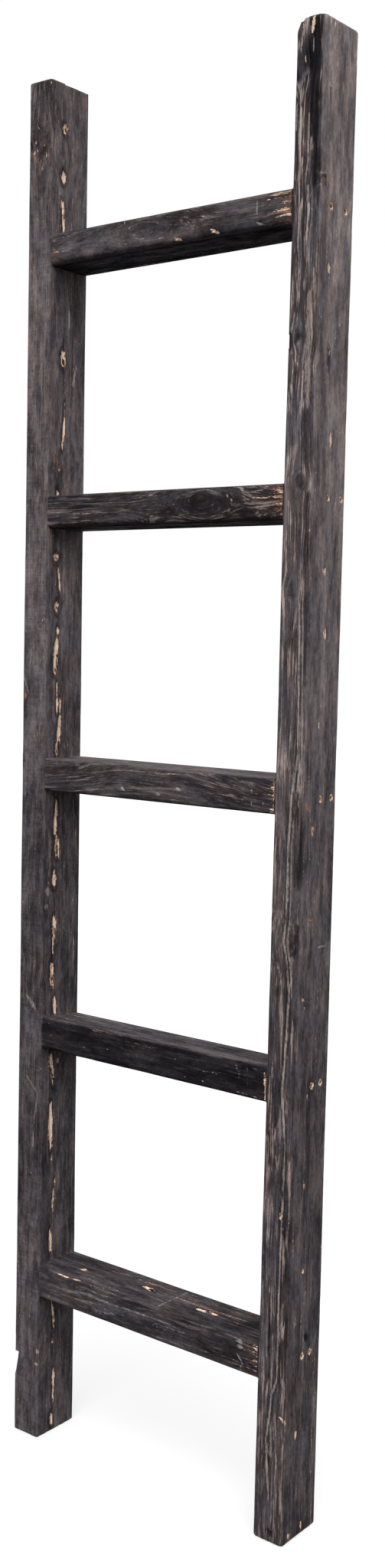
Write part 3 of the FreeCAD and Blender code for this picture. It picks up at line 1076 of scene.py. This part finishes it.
# The pixel that the rubbing starts from, and its strength.
RUBBED_ENDS = {
    "rung_1": (325, 0.95), "rung_2": (335, 0.9), "rung_3": (350, 0.7), "rung_4": (343, 0.3),
    "rung_5": (322, 0.7),
}
for name, (start_across, strength) in RUBBED_ENDS.items():
    rub_end(boards[name], start_across, strength)
print("rings on", list(RING_EYES), "and", len(RUBBED_ENDS), "rubbed ends")

# %% Combed ends
# Where the end of the front was bare from top to bottom: one stroke and its strength.
BARE_ENDS = {
    "rung_3": ((358, 1024, 358, 1060, 2.0), 0.66), "rung_4": ((345.5, 1400, 345.5, 1436, 1.8), 0.85),
    "rung_5": ((331, 1757, 331, 1794, 1.8), 0.3),
}
# Pixel rows, the pixels that the teeth start between, and how many teeth.
TEETH = {
    "rung_1": [((253, 284), (338, 368), 11)],
    "rung_2": [((634, 650), (340, 364), 6), ((651, 652), (328, 332), 1), ((659, 671), (358, 366), 4)],
    "rung_3": [((1022, 1061), (348, 355), 14)],
    "rung_4": [((1400, 1436), (345, 346), 9)],
    "rung_5": [((1757, 1794), (330, 333), 9)],
}
for name, (line, strength) in BARE_ENDS.items():
    draw(boards[name], fronts[name], "bare", [line], strength)
for name, groups in TEETH.items():
    for rows, starts, count in groups:
        comb(boards[name], fronts[name], rows, starts, count, boards[name].number)
print("ends combed:", len(TEETH))

# %% Strokes on the upper rungs
tops = {name: rung_top(name) for name in RUNGS}


def on_rung(number, face, kind, strokes, strength=1.0, depth=0.0, soft=0.7):
    """Strokes on the front or the top of a rung, counted from the top."""
    name = "rung_%d" % number
    plane = fronts[name] if face == "front" else tops[name]
    draw(boards[name], plane, kind, strokes, strength, depth, soft)


on_rung(1, "front", "bare", [(228, 311, 237, 315, 3.2), (276, 300, 286, 305, 3)], 0.9, 1.6 * MM)
on_rung(1, "front", "pale", [
    (335.5, 262, 335, 280, 1.5), (342, 265, 342, 269, 1.3), (335, 291, 342, 293, 2.4),
    (337, 296, 341, 297, 1.6), (155, 290, 155, 294, 1.4), (162, 289, 162, 293, 1.4),
], strength=0.7)
on_rung(1, "front", "rust", [(69, 309, 72, 318, 3), (70, 327, 74, 335, 3.5)], strength=0.42)
curve = trail([(172, 300), (180, 312), (195, 314), (212, 311)], 1.8)
on_rung(1, "front", "pale", curve, strength=0.4)
on_rung(2, "front", "pale", [
    (307, 635, 318, 638, 2), (313, 638, 318, 641, 1.5), (328, 642, 343, 640, 1.3),
    (296, 645, 297, 649, 1.6), (301, 651, 303, 655, 1.6),
], strength=0.8)
on_rung(2, "front", "pale", [(62, 659, 69, 659, 1.3), (95, 671, 115, 670, 2)], strength=0.45)
on_rung(2, "front", "dark", [(215, 662, 310, 653, 15)], strength=0.5, soft=0.8)
on_rung(3, "top", "bare", [(241, 1009, 250, 1009, 3.5), (331, 1017, 356, 1019, 3)], depth=1.5 * MM)
on_rung(3, "front", "pale", [
    (158, 1028, 162, 1033, 2.5), (230, 1029, 235, 1032, 2.5), (203, 1036, 208, 1038, 2.5),
    (328, 1030, 328, 1036, 1.5), (328, 1047, 328, 1052, 1.4), (343, 1048, 344, 1053, 1.4),
], strength=0.7)
print("three upper rungs marked")

# %% Strokes on the lower rungs
line = trail([(112, 1342), (145, 1351), (178, 1362), (205, 1370)], 4)
on_rung(4, "front", "rust", line, strength=0.3, depth=1.0 * MM)
on_rung(4, "front", "pale", [
    (308, 1390, 310, 1399, 2.4), (313, 1393, 312, 1408, 1.7), (322, 1393, 323, 1401, 2.2),
    (330, 1395, 336, 1397, 2.2), (322.5, 1406, 322.5, 1419, 1.4),
], strength=0.42, soft=0.95)
on_rung(5, "top", "bare", [
    (107, 1657, 113, 1658, 4), (188, 1680, 204, 1687, 4.5), (258, 1709, 284, 1717, 4.5),
], depth=1.3 * MM)
# Painted shade in the cores of two chips on the fifth rung's top.
for start, end in [((196, 1683), (204, 1688)), ((268, 1712), (276, 1715))]:
    start, end = seen_on(*start, tops["rung_5"]), seen_on(*end, tops["rung_5"])
    paint_core_shade(boards["rung_5"], start, end, 4.0 * MM)
on_rung(5, "top", "rust", [(322, 1712, 336, 1722, 7), (300, 1700, 330, 1712, 4)], strength=0.42)
on_rung(5, "top", "rust", [(120, 1655, 320, 1722, 22)], strength=0.2, soft=0.9)
on_rung(5, "front", "bare", [
    (76, 1664, 90, 1669, 2), (95, 1670, 104, 1673, 2), (186, 1701, 196, 1702, 3),
], strength=0.7, depth=1.2 * MM)
on_rung(5, "front", "dark", [
    (262, 1752, 326, 1782, 22), (150, 1715, 260, 1755, 6),
], strength=0.35, soft=0.9)
on_rung(5, "top", "dark", [(296, 1728, 326, 1736, 14)], strength=0.35, soft=0.9)
on_rung(5, "top", "pale", [(205, 1706, 246, 1687, 1.4)], strength=0.6)
on_rung(5, "front", "pale", [
    (309, 1751, 316, 1753, 4), (310, 1758, 316, 1760, 4), (309, 1768, 316, 1780, 1.8),
    (316, 1780, 313, 1791, 1.8),
], strength=0.6)
on_rung(5, "front", "pale", [
    (84, 1676, 150, 1697, 2.2), (88, 1686, 120, 1692, 4), (96, 1696, 140, 1707, 2),
    (118, 1694, 190, 1718, 2.6), (170, 1709, 230, 1733, 2.2), (200, 1729, 240, 1741, 3),
    (120, 1711, 150, 1717, 4),
], strength=0.42, soft=0.9)
print("two lower rungs marked")

# %% [markdown]
# ### How each face has worn, and where light and shade are painted
#
# Paint of the same tin wore at different speeds. The second and fourth rungs stayed
# nearly black, the right stile's front was rubbed to its ridges, and its side only
# greyed. So each face has three measures for the material: how much its ridges show and
# how light its paint is, which both change with height on a stile, and how much of the
# saw's cross marks is left. The lightness also carries painted light and shade: the
# rung tops are paler, partly from dust and partly as painted light from above, the right
# stile's side is painted lighter towards its top, and the undersides are painted blackest
# as painted shade, on paint that was also never rubbed.

# %% Paint by face
# The axis and direction that each face looks along.
FACES = {
    "front": (1, -1), "back": (1, 1), "left": (0, -1), "right": (0, 1),
    "top": (2, 1), "under": (2, -1),
}
# Ridges by height, saw marks, and lightness by height.
STILE_WEAR_AND_PAINTED_LIGHT = {
    ("left", "front"): (
        [(0.9, 0.1), (1.3, 0.25)], 0.8,
        [(0.0, 0.066), (0.4, 0.05), (0.8, 0.053), (1.0, 0.082), (1.5, 0.092), (1.72, 0.048)],
    ),
    ("left", "right"): (
        [(0.6, 0.12), (1.3, 0.22)], 0.2,
        [(0.0, 0.054), (0.4, 0.048), (0.8, 0.042), (1.1, 0.08), (1.5, 0.071), (1.75, 0.076)],
    ),
    ("left", "left"): ([(0.0, 0.4), (1.8, 0.6)], 0.3, [(0.0, 0.045), (1.8, 0.06)]),
    ("left", "back"): ([(0.0, 0.4)], 0.4, [(0.0, 0.05)]),
    ("right", "front"): (
        [(0.3, 0.74), (0.5, 0.6), (0.8, 0.62), (1.0, 1.05), (1.5, 1.15)], 0.0,
        [(0.0, 0.044), (0.5, 0.043), (0.8, 0.053), (1.1, 0.078), (1.5, 0.053), (1.7, 0.034)],
    ),
    # The right stile's side grows lighter towards its top: that rise is painted light.
    ("right", "right"): (
        [(1.2, 0.16), (1.6, 0.22)], 0.0,
        [(0.0, 0.052), (0.4, 0.05), (0.8, 0.076), (1.1, 0.11), (1.5, 0.118), (1.75, 0.16)],
    ),
    ("right", "left"): ([(0.0, 0.3)], 0.3, [(0.0, 0.04), (1.8, 0.05)]),
    ("right", "back"): ([(0.0, 0.4)], 0.4, [(0.0, 0.05)]),
}
END_GRAIN = ([(0.0, 0.3)], 0.3, [(0.0, 0.05), (1.8, 0.07)])
# Ridges and lightness of each rung's front and top, and of the faces that are alike.
# The tops are paler partly from dust and partly as painted light from above.
RUNG_WEAR_AND_PAINTED_LIGHT = {
    ("rung_1", "front"): (0.22, 0.052), ("rung_1", "top"): (0.2, 0.06),
    ("rung_2", "front"): (0.42, 0.029), ("rung_2", "top"): (0.2, 0.06),
    ("rung_3", "front"): (0.32, 0.042), ("rung_3", "top"): (0.2, 0.074),
    ("rung_4", "front"): (0.05, 0.0135), ("rung_4", "top"): (0.15, 0.042),
    ("rung_5", "front"): (0.2, 0.036), ("rung_5", "top"): (0.18, 0.034),
}
# The undersides' near-black is painted shade, on paint that was also never rubbed.
UNRUBBED_SHADED_UNDERSIDE, RUNG_BACK = (0.02, 0.017), (0.4, 0.04)
RUNG_SAW = 0.1


def face_wear_and_painted_light(name, face):
    if name in SIDE:
        return STILE_WEAR_AND_PAINTED_LIGHT.get((name, face), END_GRAIN)
    usual = UNRUBBED_SHADED_UNDERSIDE if face == "under" else RUNG_BACK
    ridge, light = RUNG_WEAR_AND_PAINTED_LIGHT.get((name, face), usual)
    return [(0.0, ridge)], RUNG_SAW, [(0.0, light)]


def by_height(board, pairs):
    heights, values = zip(*pairs)
    return np.interp(board.points[:, 2], heights, values)


def cloudy(board, across, along, seed):
    return noise(board.points, board.lengthwise(across, along), seed + board.number)


for name, board in boards.items():
    total = np.full(len(board.points), 1e-6)
    for face, (axis, sign) in FACES.items():
        ridges, saw, lights = face_wear_and_painted_light(name, face)
        weight = ramp(sign * board.normals[:, axis], 0.35, 0.85) + 1e-6
        total += weight
        board.paint["ridge"] += weight * by_height(board, ridges)
        board.paint["light"] += weight * by_height(board, lights)
        board.paint["saw"] += weight * saw
    for values in board.paint.values():
        values /= total
    light = board.paint["light"]
    light *= 1.0 + 0.38 * cloudy(board, 22.0, 130.0, 90) + 0.24 * cloudy(board, 9.0, 40.0, 92)
    board.paint["ridge"] *= 1.0 + 0.35 * cloudy(board, 16.0, 90.0, 95)
    print(name, "paint from", round(light.min(), 3), "to", round(light.max(), 3))

# %% [markdown]
# ### Covered faces stay as sawn
#
# Where a rung meets a stile, neither can wear, so the hollows fade out there. Without
# that step the joints would open into gaps.

# %% Carve, and write the attributes
GRAIN_SHIFT = 3.0  # metres along the grain from one board's streaks to the next one's
END_FACING = 0.9
JOINT_MARGIN = (-3.0 * MM, 1.0 * MM)  # the hollows return between these, out of a joint


def write(board, name, kind, socket, columns):
    attribute = board.piece.data.attributes.new(name, kind, "POINT")
    attribute.data.foreach_set(socket, columns.ravel())


def carve(board, keep):
    """Move the points in, and write the marks, the grain and the paint on the mesh."""
    inwards = board.normals.copy()
    if board.axis == 0:
        inwards[:, 0] = 0.0
    depth = board.hollow * keep
    board.piece.data.vertices.foreach_set("co", (board.points - inwards * depth[:, None]).ravel())
    channels = np.stack([np.clip(board.marks[name], 0, 1) for name in CHANNELS], axis=1)
    write(board, "marks", "FLOAT_COLOR", "color", channels)
    grain = board.across.copy()
    grain[:, [board.axis, UP]] = grain[:, [UP, board.axis]]
    grain[:, UP] += GRAIN_SHIFT * board.number
    write(board, "grain", "FLOAT_VECTOR", "vector", grain)
    measures = np.stack([board.paint[name] for name in MEASURES], axis=1)
    write(board, "paint", "FLOAT_VECTOR", "vector", measures)
    board.piece.data.update()
    print(board.piece.name, "deepest hollow, mm:", round(float(depth.max()) / MM, 2))


def clear_of_joints(side):
    """1 where a stile can wear, and 0 inside its holes and behind the rungs' ends."""
    board = boards[side]
    keep = keep_walls[side].copy()
    inner_side = ramp(-board.normals[:, 0] * SIDE[side], 0.3, 0.7)
    for name in RUNGS:
        low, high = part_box(name)
        beyond_z = np.maximum(low.z - board.points[:, 2], board.points[:, 2] - high.z)
        beyond_y = np.maximum(low.y - board.points[:, 1], board.points[:, 1] - high.y)
        beyond = np.maximum(beyond_z, beyond_y)
        keep *= 1.0 - inner_side * (1.0 - ramp(beyond, *JOINT_MARGIN))
    return keep


for side in SIDE:
    carve(boards[side], clear_of_joints(side))
for name in RUNGS:
    on_end = np.abs(boards[name].normals[:, 0]) > END_FACING
    carve(boards[name], np.where(on_end, 0.0, 1.0))
for board in boards.values():
    pick_alone(board.piece)
    bpy.ops.object.shade_smooth_by_angle(angle=math.radians(38.0))

# %% [markdown]
# ## Materials
#
# The paint has rubbed through to the ridges of the grain, so one value drives its
# colour: streaks of noise, long along the grain and fine across it, at three sizes.
# That value runs through a colour ramp from near-black paint to the grey-brown of
# rubbed wood. The marks then lay rust, bare wood, pale scuffs and darkness over it.
# Layers that share one noise stay in step, as real wear does, and a chip's edge breaks
# up along the same grain as the paint beside it.

# %% Node helpers
class Nodes:
    """A small hand for building node trees in reading order."""

    def __init__(self, material):
        material.use_nodes = True
        self.tree = material.node_tree
        self.tree.nodes.clear()

    def add(self, kind, inputs=(), **settings):
        node = self.tree.nodes.new("ShaderNode" + kind)
        for name, value in settings.items():
            setattr(node, name, value)
        for socket, value in dict(inputs).items():
            self.feed(node.inputs[socket], value)
        return node

    def feed(self, socket, value):
        if hasattr(value, "is_output"):
            self.tree.links.new(value, socket)
        else:
            socket.default_value = value

    def maths(self, operation, first, second=0.0, third=0.0):
        node = self.add("Math", {0: first, 1: second, 2: third}, operation=operation)
        return node.outputs[0]

    def times(self, value, factor, base=0.0):
        """A value times a factor, added to a base."""
        return self.maths("MULTIPLY_ADD", value, factor, base)

    def swing(self, value, factor, base=0.0):
        """A noise's swing to either side of its middle, times a factor, added to a base."""
        return self.times(self.maths("SUBTRACT", value, 0.5), factor, base)

    def band(self, value, low, high, to_low=0.0, to_high=1.0):
        """A smooth rise from one number to another as the value goes from low to high."""
        inputs = {"Value": value, "From Min": low, "From Max": high}
        inputs.update({"To Min": to_low, "To Max": to_high})
        return self.add("MapRange", inputs, interpolation_type="SMOOTHSTEP").outputs["Result"]

    def stretch(self, vector, factors):
        return self.add("VectorMath", {0: vector, 1: factors}, operation="MULTIPLY").outputs["Vector"]

    def streaks(self, flow, scale, detail=2.0):
        """Noise on a direction-scaled copy of the flow coordinates."""
        inputs = {"Vector": self.stretch(flow, scale), "Scale": 1.0, "Detail": detail, "Roughness": 0.6}
        return self.add("TexNoise", inputs).outputs["Fac"]

    def layer(self, share, under, over):
        node = self.add("Mix", data_type="RGBA")
        self.feed(node.inputs[0], share)
        self.feed(node.inputs[6], under)
        self.feed(node.inputs[7], over)
        return node.outputs[2]

    def ramp(self, value, stops):
        node = self.add("ValToRGB", {"Fac": value})
        elements = node.color_ramp.elements
        while len(elements) < len(stops):
            elements.new(0.5)
        for element, (place, colour) in zip(elements, stops):
            element.position = place
            element.color = (*colour, 1.0)
        return node.outputs["Color"]

    def surface(self, inputs):
        """A Principled shader with these inputs, joined to the material's output."""
        shader = self.add("BsdfPrincipled", inputs)
        self.add("OutputMaterial", {"Surface": shader.outputs["BSDF"]})


print("node helpers ready")

# %% Streaks of the grain
# Noise cells to the metre across the grain and along it, and levels of detail.
STREAKS = {
    "fibres": (760.0, 14.0, 2.0), "ridges": (400.0, 6.0, 2.0), "bands": (150.0, 5.0, 2.0),
    "breaks": (170.0, 30.0, 4.0), "chipping": (700.0, 240.0, 3.0), "blotches": (260.0, 100.0, 5.0),
    "patches": (85.0, 24.0, 6.0), "rubbings": (60.0, 13.0, 4.0), "saw": (34.0, 520.0, 1.0),
}
GRAIN_SHARES = {"bands": 0.29, "ridges": 0.31, "fibres": 0.40}
WANDER = 6.0 * MM  # how far the grain lines stray sideways
WANDER_SCALE = (45.0, 45.0, 16.0)


def grain_streaks(nodes):
    """All the noises of the paint, along grain lines that wander a little."""
    flow = nodes.add("Attribute", attribute_name="grain").outputs["Vector"]
    inputs = {"Vector": nodes.stretch(flow, WANDER_SCALE), "Scale": 1.0, "Detail": 2.0}
    drift = nodes.add("TexNoise", inputs).outputs["Color"]
    inputs = {0: drift, 1: (WANDER, WANDER, 0.0), 2: flow}
    flow = nodes.add("VectorMath", inputs, operation="MULTIPLY_ADD").outputs["Vector"]
    streak = {}
    for name, (across, along, detail) in STREAKS.items():
        streak[name] = nodes.streaks(flow, (across, across, along), detail)
    grain = 0.0
    for name, share in GRAIN_SHARES.items():
        grain = nodes.times(streak[name], share, grain)
    streak["grain"] = grain
    return streak


print("streaks:", list(STREAKS))

# %% How light the paint is
# A dark mark darkens dark wood, and it also lays painted shade.
DARKENING = -0.85  # what a dark mark takes
LINE_BREAKS = 0.36
LINE_EDGE = (0.50, 0.60)  # the grain values between which a rubbed line rises
LINE_STRENGTH = (0.40, 0.58, 0.2, 1.4)  # two levels of rubbing, and a line's strength there
RUBBED_LINE = (0.40, 0.05)  # a rubbed line's lightness: what chipping adds, and the least
CHIP_SWING, MIDDLE_TONE, LEAST_TONE = 1.2, 0.95, 0.2
GRAIN_SWING, BLOTCH_SWING = (2.2, 0.6), (-0.8, 1.6)  # each by the ridges, and without them
CLOUD_BAND = (0.36, 0.64, -0.38, 0.38)
CLOUD_FADE = -0.4


def paint_level(nodes, streak, kinds, dark):
    """The paint's lightness: a mottled body, and rubbed lines on the ridges of the grain, darkened by
    the dark marks, which hold dark wood and painted shade.
    """
    ridge, light, sawn = kinds["X"], kinds["Y"], kinds["Z"]
    shade = nodes.times(dark, DARKENING, 1.0)
    lines = nodes.swing(streak["breaks"], LINE_BREAKS, streak["grain"])
    lines = nodes.maths("MULTIPLY", nodes.band(lines, *LINE_EDGE), ridge)
    lines = nodes.maths("MULTIPLY", lines, nodes.band(streak["rubbings"], *LINE_STRENGTH))
    lines = nodes.maths("MULTIPLY", lines, shade)
    mottle = nodes.swing(streak["chipping"], CHIP_SWING, MIDDLE_TONE)
    mottle = nodes.swing(streak["grain"], nodes.times(ridge, *GRAIN_SWING), mottle)
    mottle = nodes.swing(streak["blotches"], nodes.times(ridge, *BLOTCH_SWING), mottle)
    mottle = nodes.swing(streak["saw"], sawn, mottle)
    mottle = nodes.maths("MAXIMUM", mottle, LEAST_TONE)
    cloud = nodes.band(streak["patches"], *CLOUD_BAND)
    cloud = nodes.maths("MULTIPLY", cloud, nodes.times(ridge, CLOUD_FADE, 1.0))
    body = nodes.maths("MULTIPLY", light, nodes.times(mottle, cloud, mottle))
    rubbed = nodes.times(streak["chipping"], *RUBBED_LINE)
    level = nodes.times(lines, nodes.maths("SUBTRACT", rubbed, body), body)
    return nodes.maths("MULTIPLY", level, shade)


print("a rubbed line is as light as", RUBBED_LINE)

# %% The paint's colour
# Colour at each level of lightness: black paint is neutral, and rubbed wood is warmer.
TINTS = [
    (0.0, (0.0, 0.0, 0.0)), (0.01, (0.0105, 0.0096, 0.0112)), (0.05, (0.0533, 0.0463, 0.0492)),
    (0.10, (0.1115, 0.0965, 0.0995)), (0.30, (0.335, 0.285, 0.268)), (1.0, (1.0, 0.93, 0.88)),
]
COOL, WARM = (0.965, 0.99, 1.04, 1.0), (1.08, 0.98, 0.915, 1.0)
WARM_RUBBING = (0.40, 0.60)
WARM_RIDGES = (0.0, 0.5, 0.5, 1.1)  # two amounts of ridge, and how warm each is


def paint_colour(nodes, streak, level, ridge):
    """The level's own tint, cast cool or warm in patches."""
    patches = nodes.band(streak["rubbings"], *WARM_RUBBING)
    warmth = nodes.maths("MULTIPLY", patches, nodes.band(ridge, *WARM_RIDGES))
    return nodes.stretch(nodes.ramp(level, TINTS), nodes.layer(warmth, COOL, WARM))


print("tints:", len(TINTS))

# %% Scuffs, rust and bare wood
SCUFFS = {"stile": (0.38, 0.325, 0.29, 1.0), "rung": (0.42, 0.41, 0.41, 1.0)}  # worn wood, and chalk
RUST_STOPS = [(0.42, (0.045, 0.022, 0.018)), (0.60, (0.34, 0.165, 0.095))]
# Bare wood from the rim of a chip to its middle: rust brown, tan, then nearly clean.
BARE_STOPS = [
    (0.53, (0.13, 0.06, 0.037)), (0.61, (0.43, 0.25, 0.155)), (0.72, (0.64, 0.46, 0.345)),
    (0.86, (0.76, 0.61, 0.50)),
]
TORN_CHIPS, TORN_GRAIN, TORN_SCUFFS = 1.5, 2.6, 0.6  # how far each breaks up a mark's edge
PALE_EDGE, RUST_EDGE, BARE_EDGE = (0.22, 1.0), (0.38, 0.66), (0.44, 0.56)
SCUFF_COVER, RUST_COVER = 0.85, 0.9
WOOD_CHIPS, WOOD_FIBRES, WOOD_DEPTH = 0.3, 0.5, 0.4


def lay_marks(nodes, streak, marks, colour, scuff):
    """Lay each mark over the paint, its edge torn along the grain; return the bare share too."""
    torn = nodes.swing(streak["chipping"], TORN_CHIPS)
    torn = nodes.swing(streak["grain"], TORN_GRAIN, torn)
    scuffed = nodes.band(nodes.times(torn, TORN_SCUFFS, marks["pale"]), *PALE_EDGE)
    colour = nodes.layer(nodes.maths("MULTIPLY", scuffed, SCUFF_COVER), colour, scuff)
    rusty = nodes.band(nodes.maths("ADD", torn, marks["rust"]), *RUST_EDGE)
    stain = nodes.ramp(streak["grain"], RUST_STOPS)
    colour = nodes.layer(nodes.maths("MULTIPLY", rusty, RUST_COVER), colour, stain)
    depth = nodes.maths("ADD", torn, marks["bare"])
    stripped = nodes.band(depth, *BARE_EDGE)
    wood = nodes.times(streak["fibres"], WOOD_FIBRES, nodes.times(streak["chipping"], WOOD_CHIPS))
    wood = nodes.ramp(nodes.times(depth, WOOD_DEPTH, wood), BARE_STOPS)
    return nodes.layer(stripped, colour, wood), stripped


print("bare wood in", len(BARE_STOPS), "colours")

# %% The rubbed black paint
BUMP_STRENGTH, BUMP_DISTANCE = 0.7, 1.0 * MM
BARE_BUMP, CHIP_BUMP = -0.8, 0.25
ROUGH_BAND = (0.0, 0.2, 0.7, 0.88)
SHEEN_BAND = (0.008, 0.08, 0.0, 0.06)


def rubbed_paint(name, scuff):
    material = bpy.data.materials.new(name)
    nodes = Nodes(material)
    wear = nodes.add("Attribute", attribute_name="marks").outputs
    channels = nodes.add("SeparateColor", {"Color": wear["Color"]}).outputs
    marks = dict(zip(CHANNELS, [channels["Red"], channels["Green"], channels["Blue"], wear["Alpha"]]))
    measures = nodes.add("Attribute", attribute_name="paint").outputs["Vector"]
    kinds = nodes.add("SeparateXYZ", {"Vector": measures}).outputs
    streak = grain_streaks(nodes)
    level = paint_level(nodes, streak, kinds, marks["dark"])
    colour = paint_colour(nodes, streak, level, kinds["X"])
    colour, stripped = lay_marks(nodes, streak, marks, colour, scuff)
    height = nodes.times(streak["chipping"], CHIP_BUMP, streak["grain"])
    height = nodes.times(stripped, BARE_BUMP, height)
    inputs = {"Strength": BUMP_STRENGTH, "Distance": BUMP_DISTANCE, "Height": height}
    nodes.surface({
        "Base Color": colour,
        "Roughness": nodes.band(level, *ROUGH_BAND),
        "Specular IOR Level": nodes.band(level, *SHEEN_BAND),
        "Normal": nodes.add("Bump", inputs).outputs["Normal"],
    })
    return material


PAINTS = {kind: rubbed_paint("rubbed_black_%ss" % kind, scuff) for kind, scuff in SCUFFS.items()}
for name, board in boards.items():
    board.piece.data.materials.clear()
    board.piece.data.materials.append(PAINTS["stile" if name in SIDE else "rung"])
print("paints:", [paint.name for paint in PAINTS.values()])

# %% [markdown]
# ### Screw metal
#
# The screws are wood screws of yellow-plated steel that has dulled and gathered dust.
# They come from the CAD model as they are, because they were turned there with their
# recess, and only the finish is new. They sit so deep that the photograph shows none of
# their metal.

# %% Screws
DUST_SCALE = (420.0, 420.0, 420.0)  # specks of dust to the metre
ZINC_STOPS = [(0.3, (0.30, 0.19, 0.11)), (0.6, (0.72, 0.52, 0.32))]  # dusty, then clean
ZINC_ROUGHNESS = (0.3, 0.7, 0.42, 0.68)


def dulled_zinc():
    material = bpy.data.materials.new("dulled_yellow_zinc")
    nodes = Nodes(material)
    place = nodes.add("TexCoord").outputs["Object"]
    cloud = nodes.streaks(place, DUST_SCALE, 3.0)
    bump = nodes.add("Bump", {"Strength": 0.3, "Distance": 0.05 * MM, "Height": cloud})
    nodes.surface({
        "Base Color": nodes.ramp(cloud, ZINC_STOPS),
        "Roughness": nodes.band(cloud, *ZINC_ROUGHNESS),
        "Metallic": 1.0,
        "Normal": bump.outputs["Normal"],
    })
    return material


zinc = dulled_zinc()
meshes = [thing for thing in bpy.data.objects if thing.type == "MESH"]
screws = [mesh for mesh in meshes if mesh.name.startswith("screw_")]
for screw in screws:
    if not screw.material_slots:
        screw.data.materials.append(zinc)
    for place in screw.material_slots:
        place.material = zinc
print("screws given their finish:", len(screws))

# %% [markdown]
# ## Light, floor and backdrop
#
# The photograph has a pure white ground, bright top faces, and undersides that are
# nearly black, so its light came from high and in front. One large soft sun does that,
# with a paler sky above than below. The floor and background are white to the camera.
# To the ladder's undersides the floor is a mid grey, which keeps them as dark as they
# are in the picture, while its own shadow stays.

# %% Sun
bpy.context.scene.view_settings.view_transform = "Standard"
SUN_TURN, SUN_HEIGHT = math.radians(35.0), math.radians(50.0)
SUN_STRENGTH, SUN_SPREAD = 3.1, math.radians(50.0)
sun_data = bpy.data.lights.new("sun", "SUN")
sun_data.energy = SUN_STRENGTH
sun_data.angle = SUN_SPREAD
sun = bpy.data.objects.new("sun", sun_data)
bpy.context.scene.collection.objects.link(sun)
from_sun = Vector((
    -math.sin(SUN_TURN) * math.cos(SUN_HEIGHT),
    math.cos(SUN_TURN) * math.cos(SUN_HEIGHT),
    -math.sin(SUN_HEIGHT),
))
sun.rotation_euler = from_sun.to_track_quat("-Z", "Y").to_euler()
print("sun comes from:", [round(-v, 2) for v in from_sun])

# %% World
SKY, BELOW = 0.9, 0.12
HORIZON = 0.15  # how far from level the sky's brightness changes
PURE_WHITE = (1.0, 1.0, 1.0, 1.0)


def seen_directly(nodes):
    """1 to the camera and in gloss or glass, and 0 for the light that falls on things."""
    path = nodes.add("LightPath").outputs
    seen = nodes.maths("MAXIMUM", path["Is Camera Ray"], path["Is Glossy Ray"])
    return nodes.maths("MAXIMUM", seen, path["Is Transmission Ray"])


world = bpy.data.worlds.new("studio")
bpy.context.scene.world = world
world.use_nodes = True
sky = Nodes(world)
direction = sky.add("TexCoord").outputs["Generated"]  # in a world this is the way that a ray goes
upwards = sky.add("SeparateXYZ", {"Vector": direction}).outputs["Z"]
ambient = sky.band(upwards, -HORIZON, HORIZON, BELOW, SKY)
seen = seen_directly(sky)
level = sky.times(ambient, sky.maths("SUBTRACT", 1.0, seen), seen)
background = sky.add("Background", {"Color": PURE_WHITE, "Strength": level})
sky.add("OutputWorld", {"Surface": background.outputs["Background"]})
print("world nodes:", len(world.node_tree.nodes))

# %% Floor
FLOOR_SIZE = 30.0
WHITENING = 0.65  # share of the floor's look, to the camera alone, that is plain white
WHITE, GREY = (0.8, 0.8, 0.8, 1.0), (0.12, 0.12, 0.12, 1.0)  # to the camera, and to the wood
bpy.ops.object.select_all(action="DESELECT")
bpy.ops.mesh.primitive_plane_add(size=FLOOR_SIZE, location=(0.0, 0.0, 0.0))
floor = bpy.context.object
floor.name = "floor"
floor_paint = bpy.data.materials.new("floor_paint")
ground = Nodes(floor_paint)
seen = seen_directly(ground)
tone = ground.layer(seen, GREY, WHITE)
matt = ground.add("BsdfDiffuse", {"Color": tone}).outputs["BSDF"]
white = ground.add("Emission", {"Color": PURE_WHITE}).outputs["Emission"]
paper = ground.add("MixShader", {0: ground.maths("MULTIPLY", seen, WHITENING), 1: matt, 2: white})
ground.add("OutputMaterial", {"Surface": paper.outputs["Shader"]})
floor.data.materials.append(floor_paint)
floor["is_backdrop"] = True
print("floor is staged")

# %% [markdown]
# ## The worn boards take the CAD nodes' places
#
# Each worn board hides its CAD node and stays with the one body, because nothing on
# this ladder moves.

# %% Frame facts
for side in SIDE:
    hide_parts(side + "_stile")
for name in RUNGS:
    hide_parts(name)
for board in boards.values():
    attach(board.piece, "root")
print("pieces that stand for a CAD node:", len(boards))

# %% Sizes, then the last call
new_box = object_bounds()
corners = [*cad_box, *new_box]
print("CAD box and visual box, mm:", [[round(v / MM, 1) for v in corner] for corner in corners])
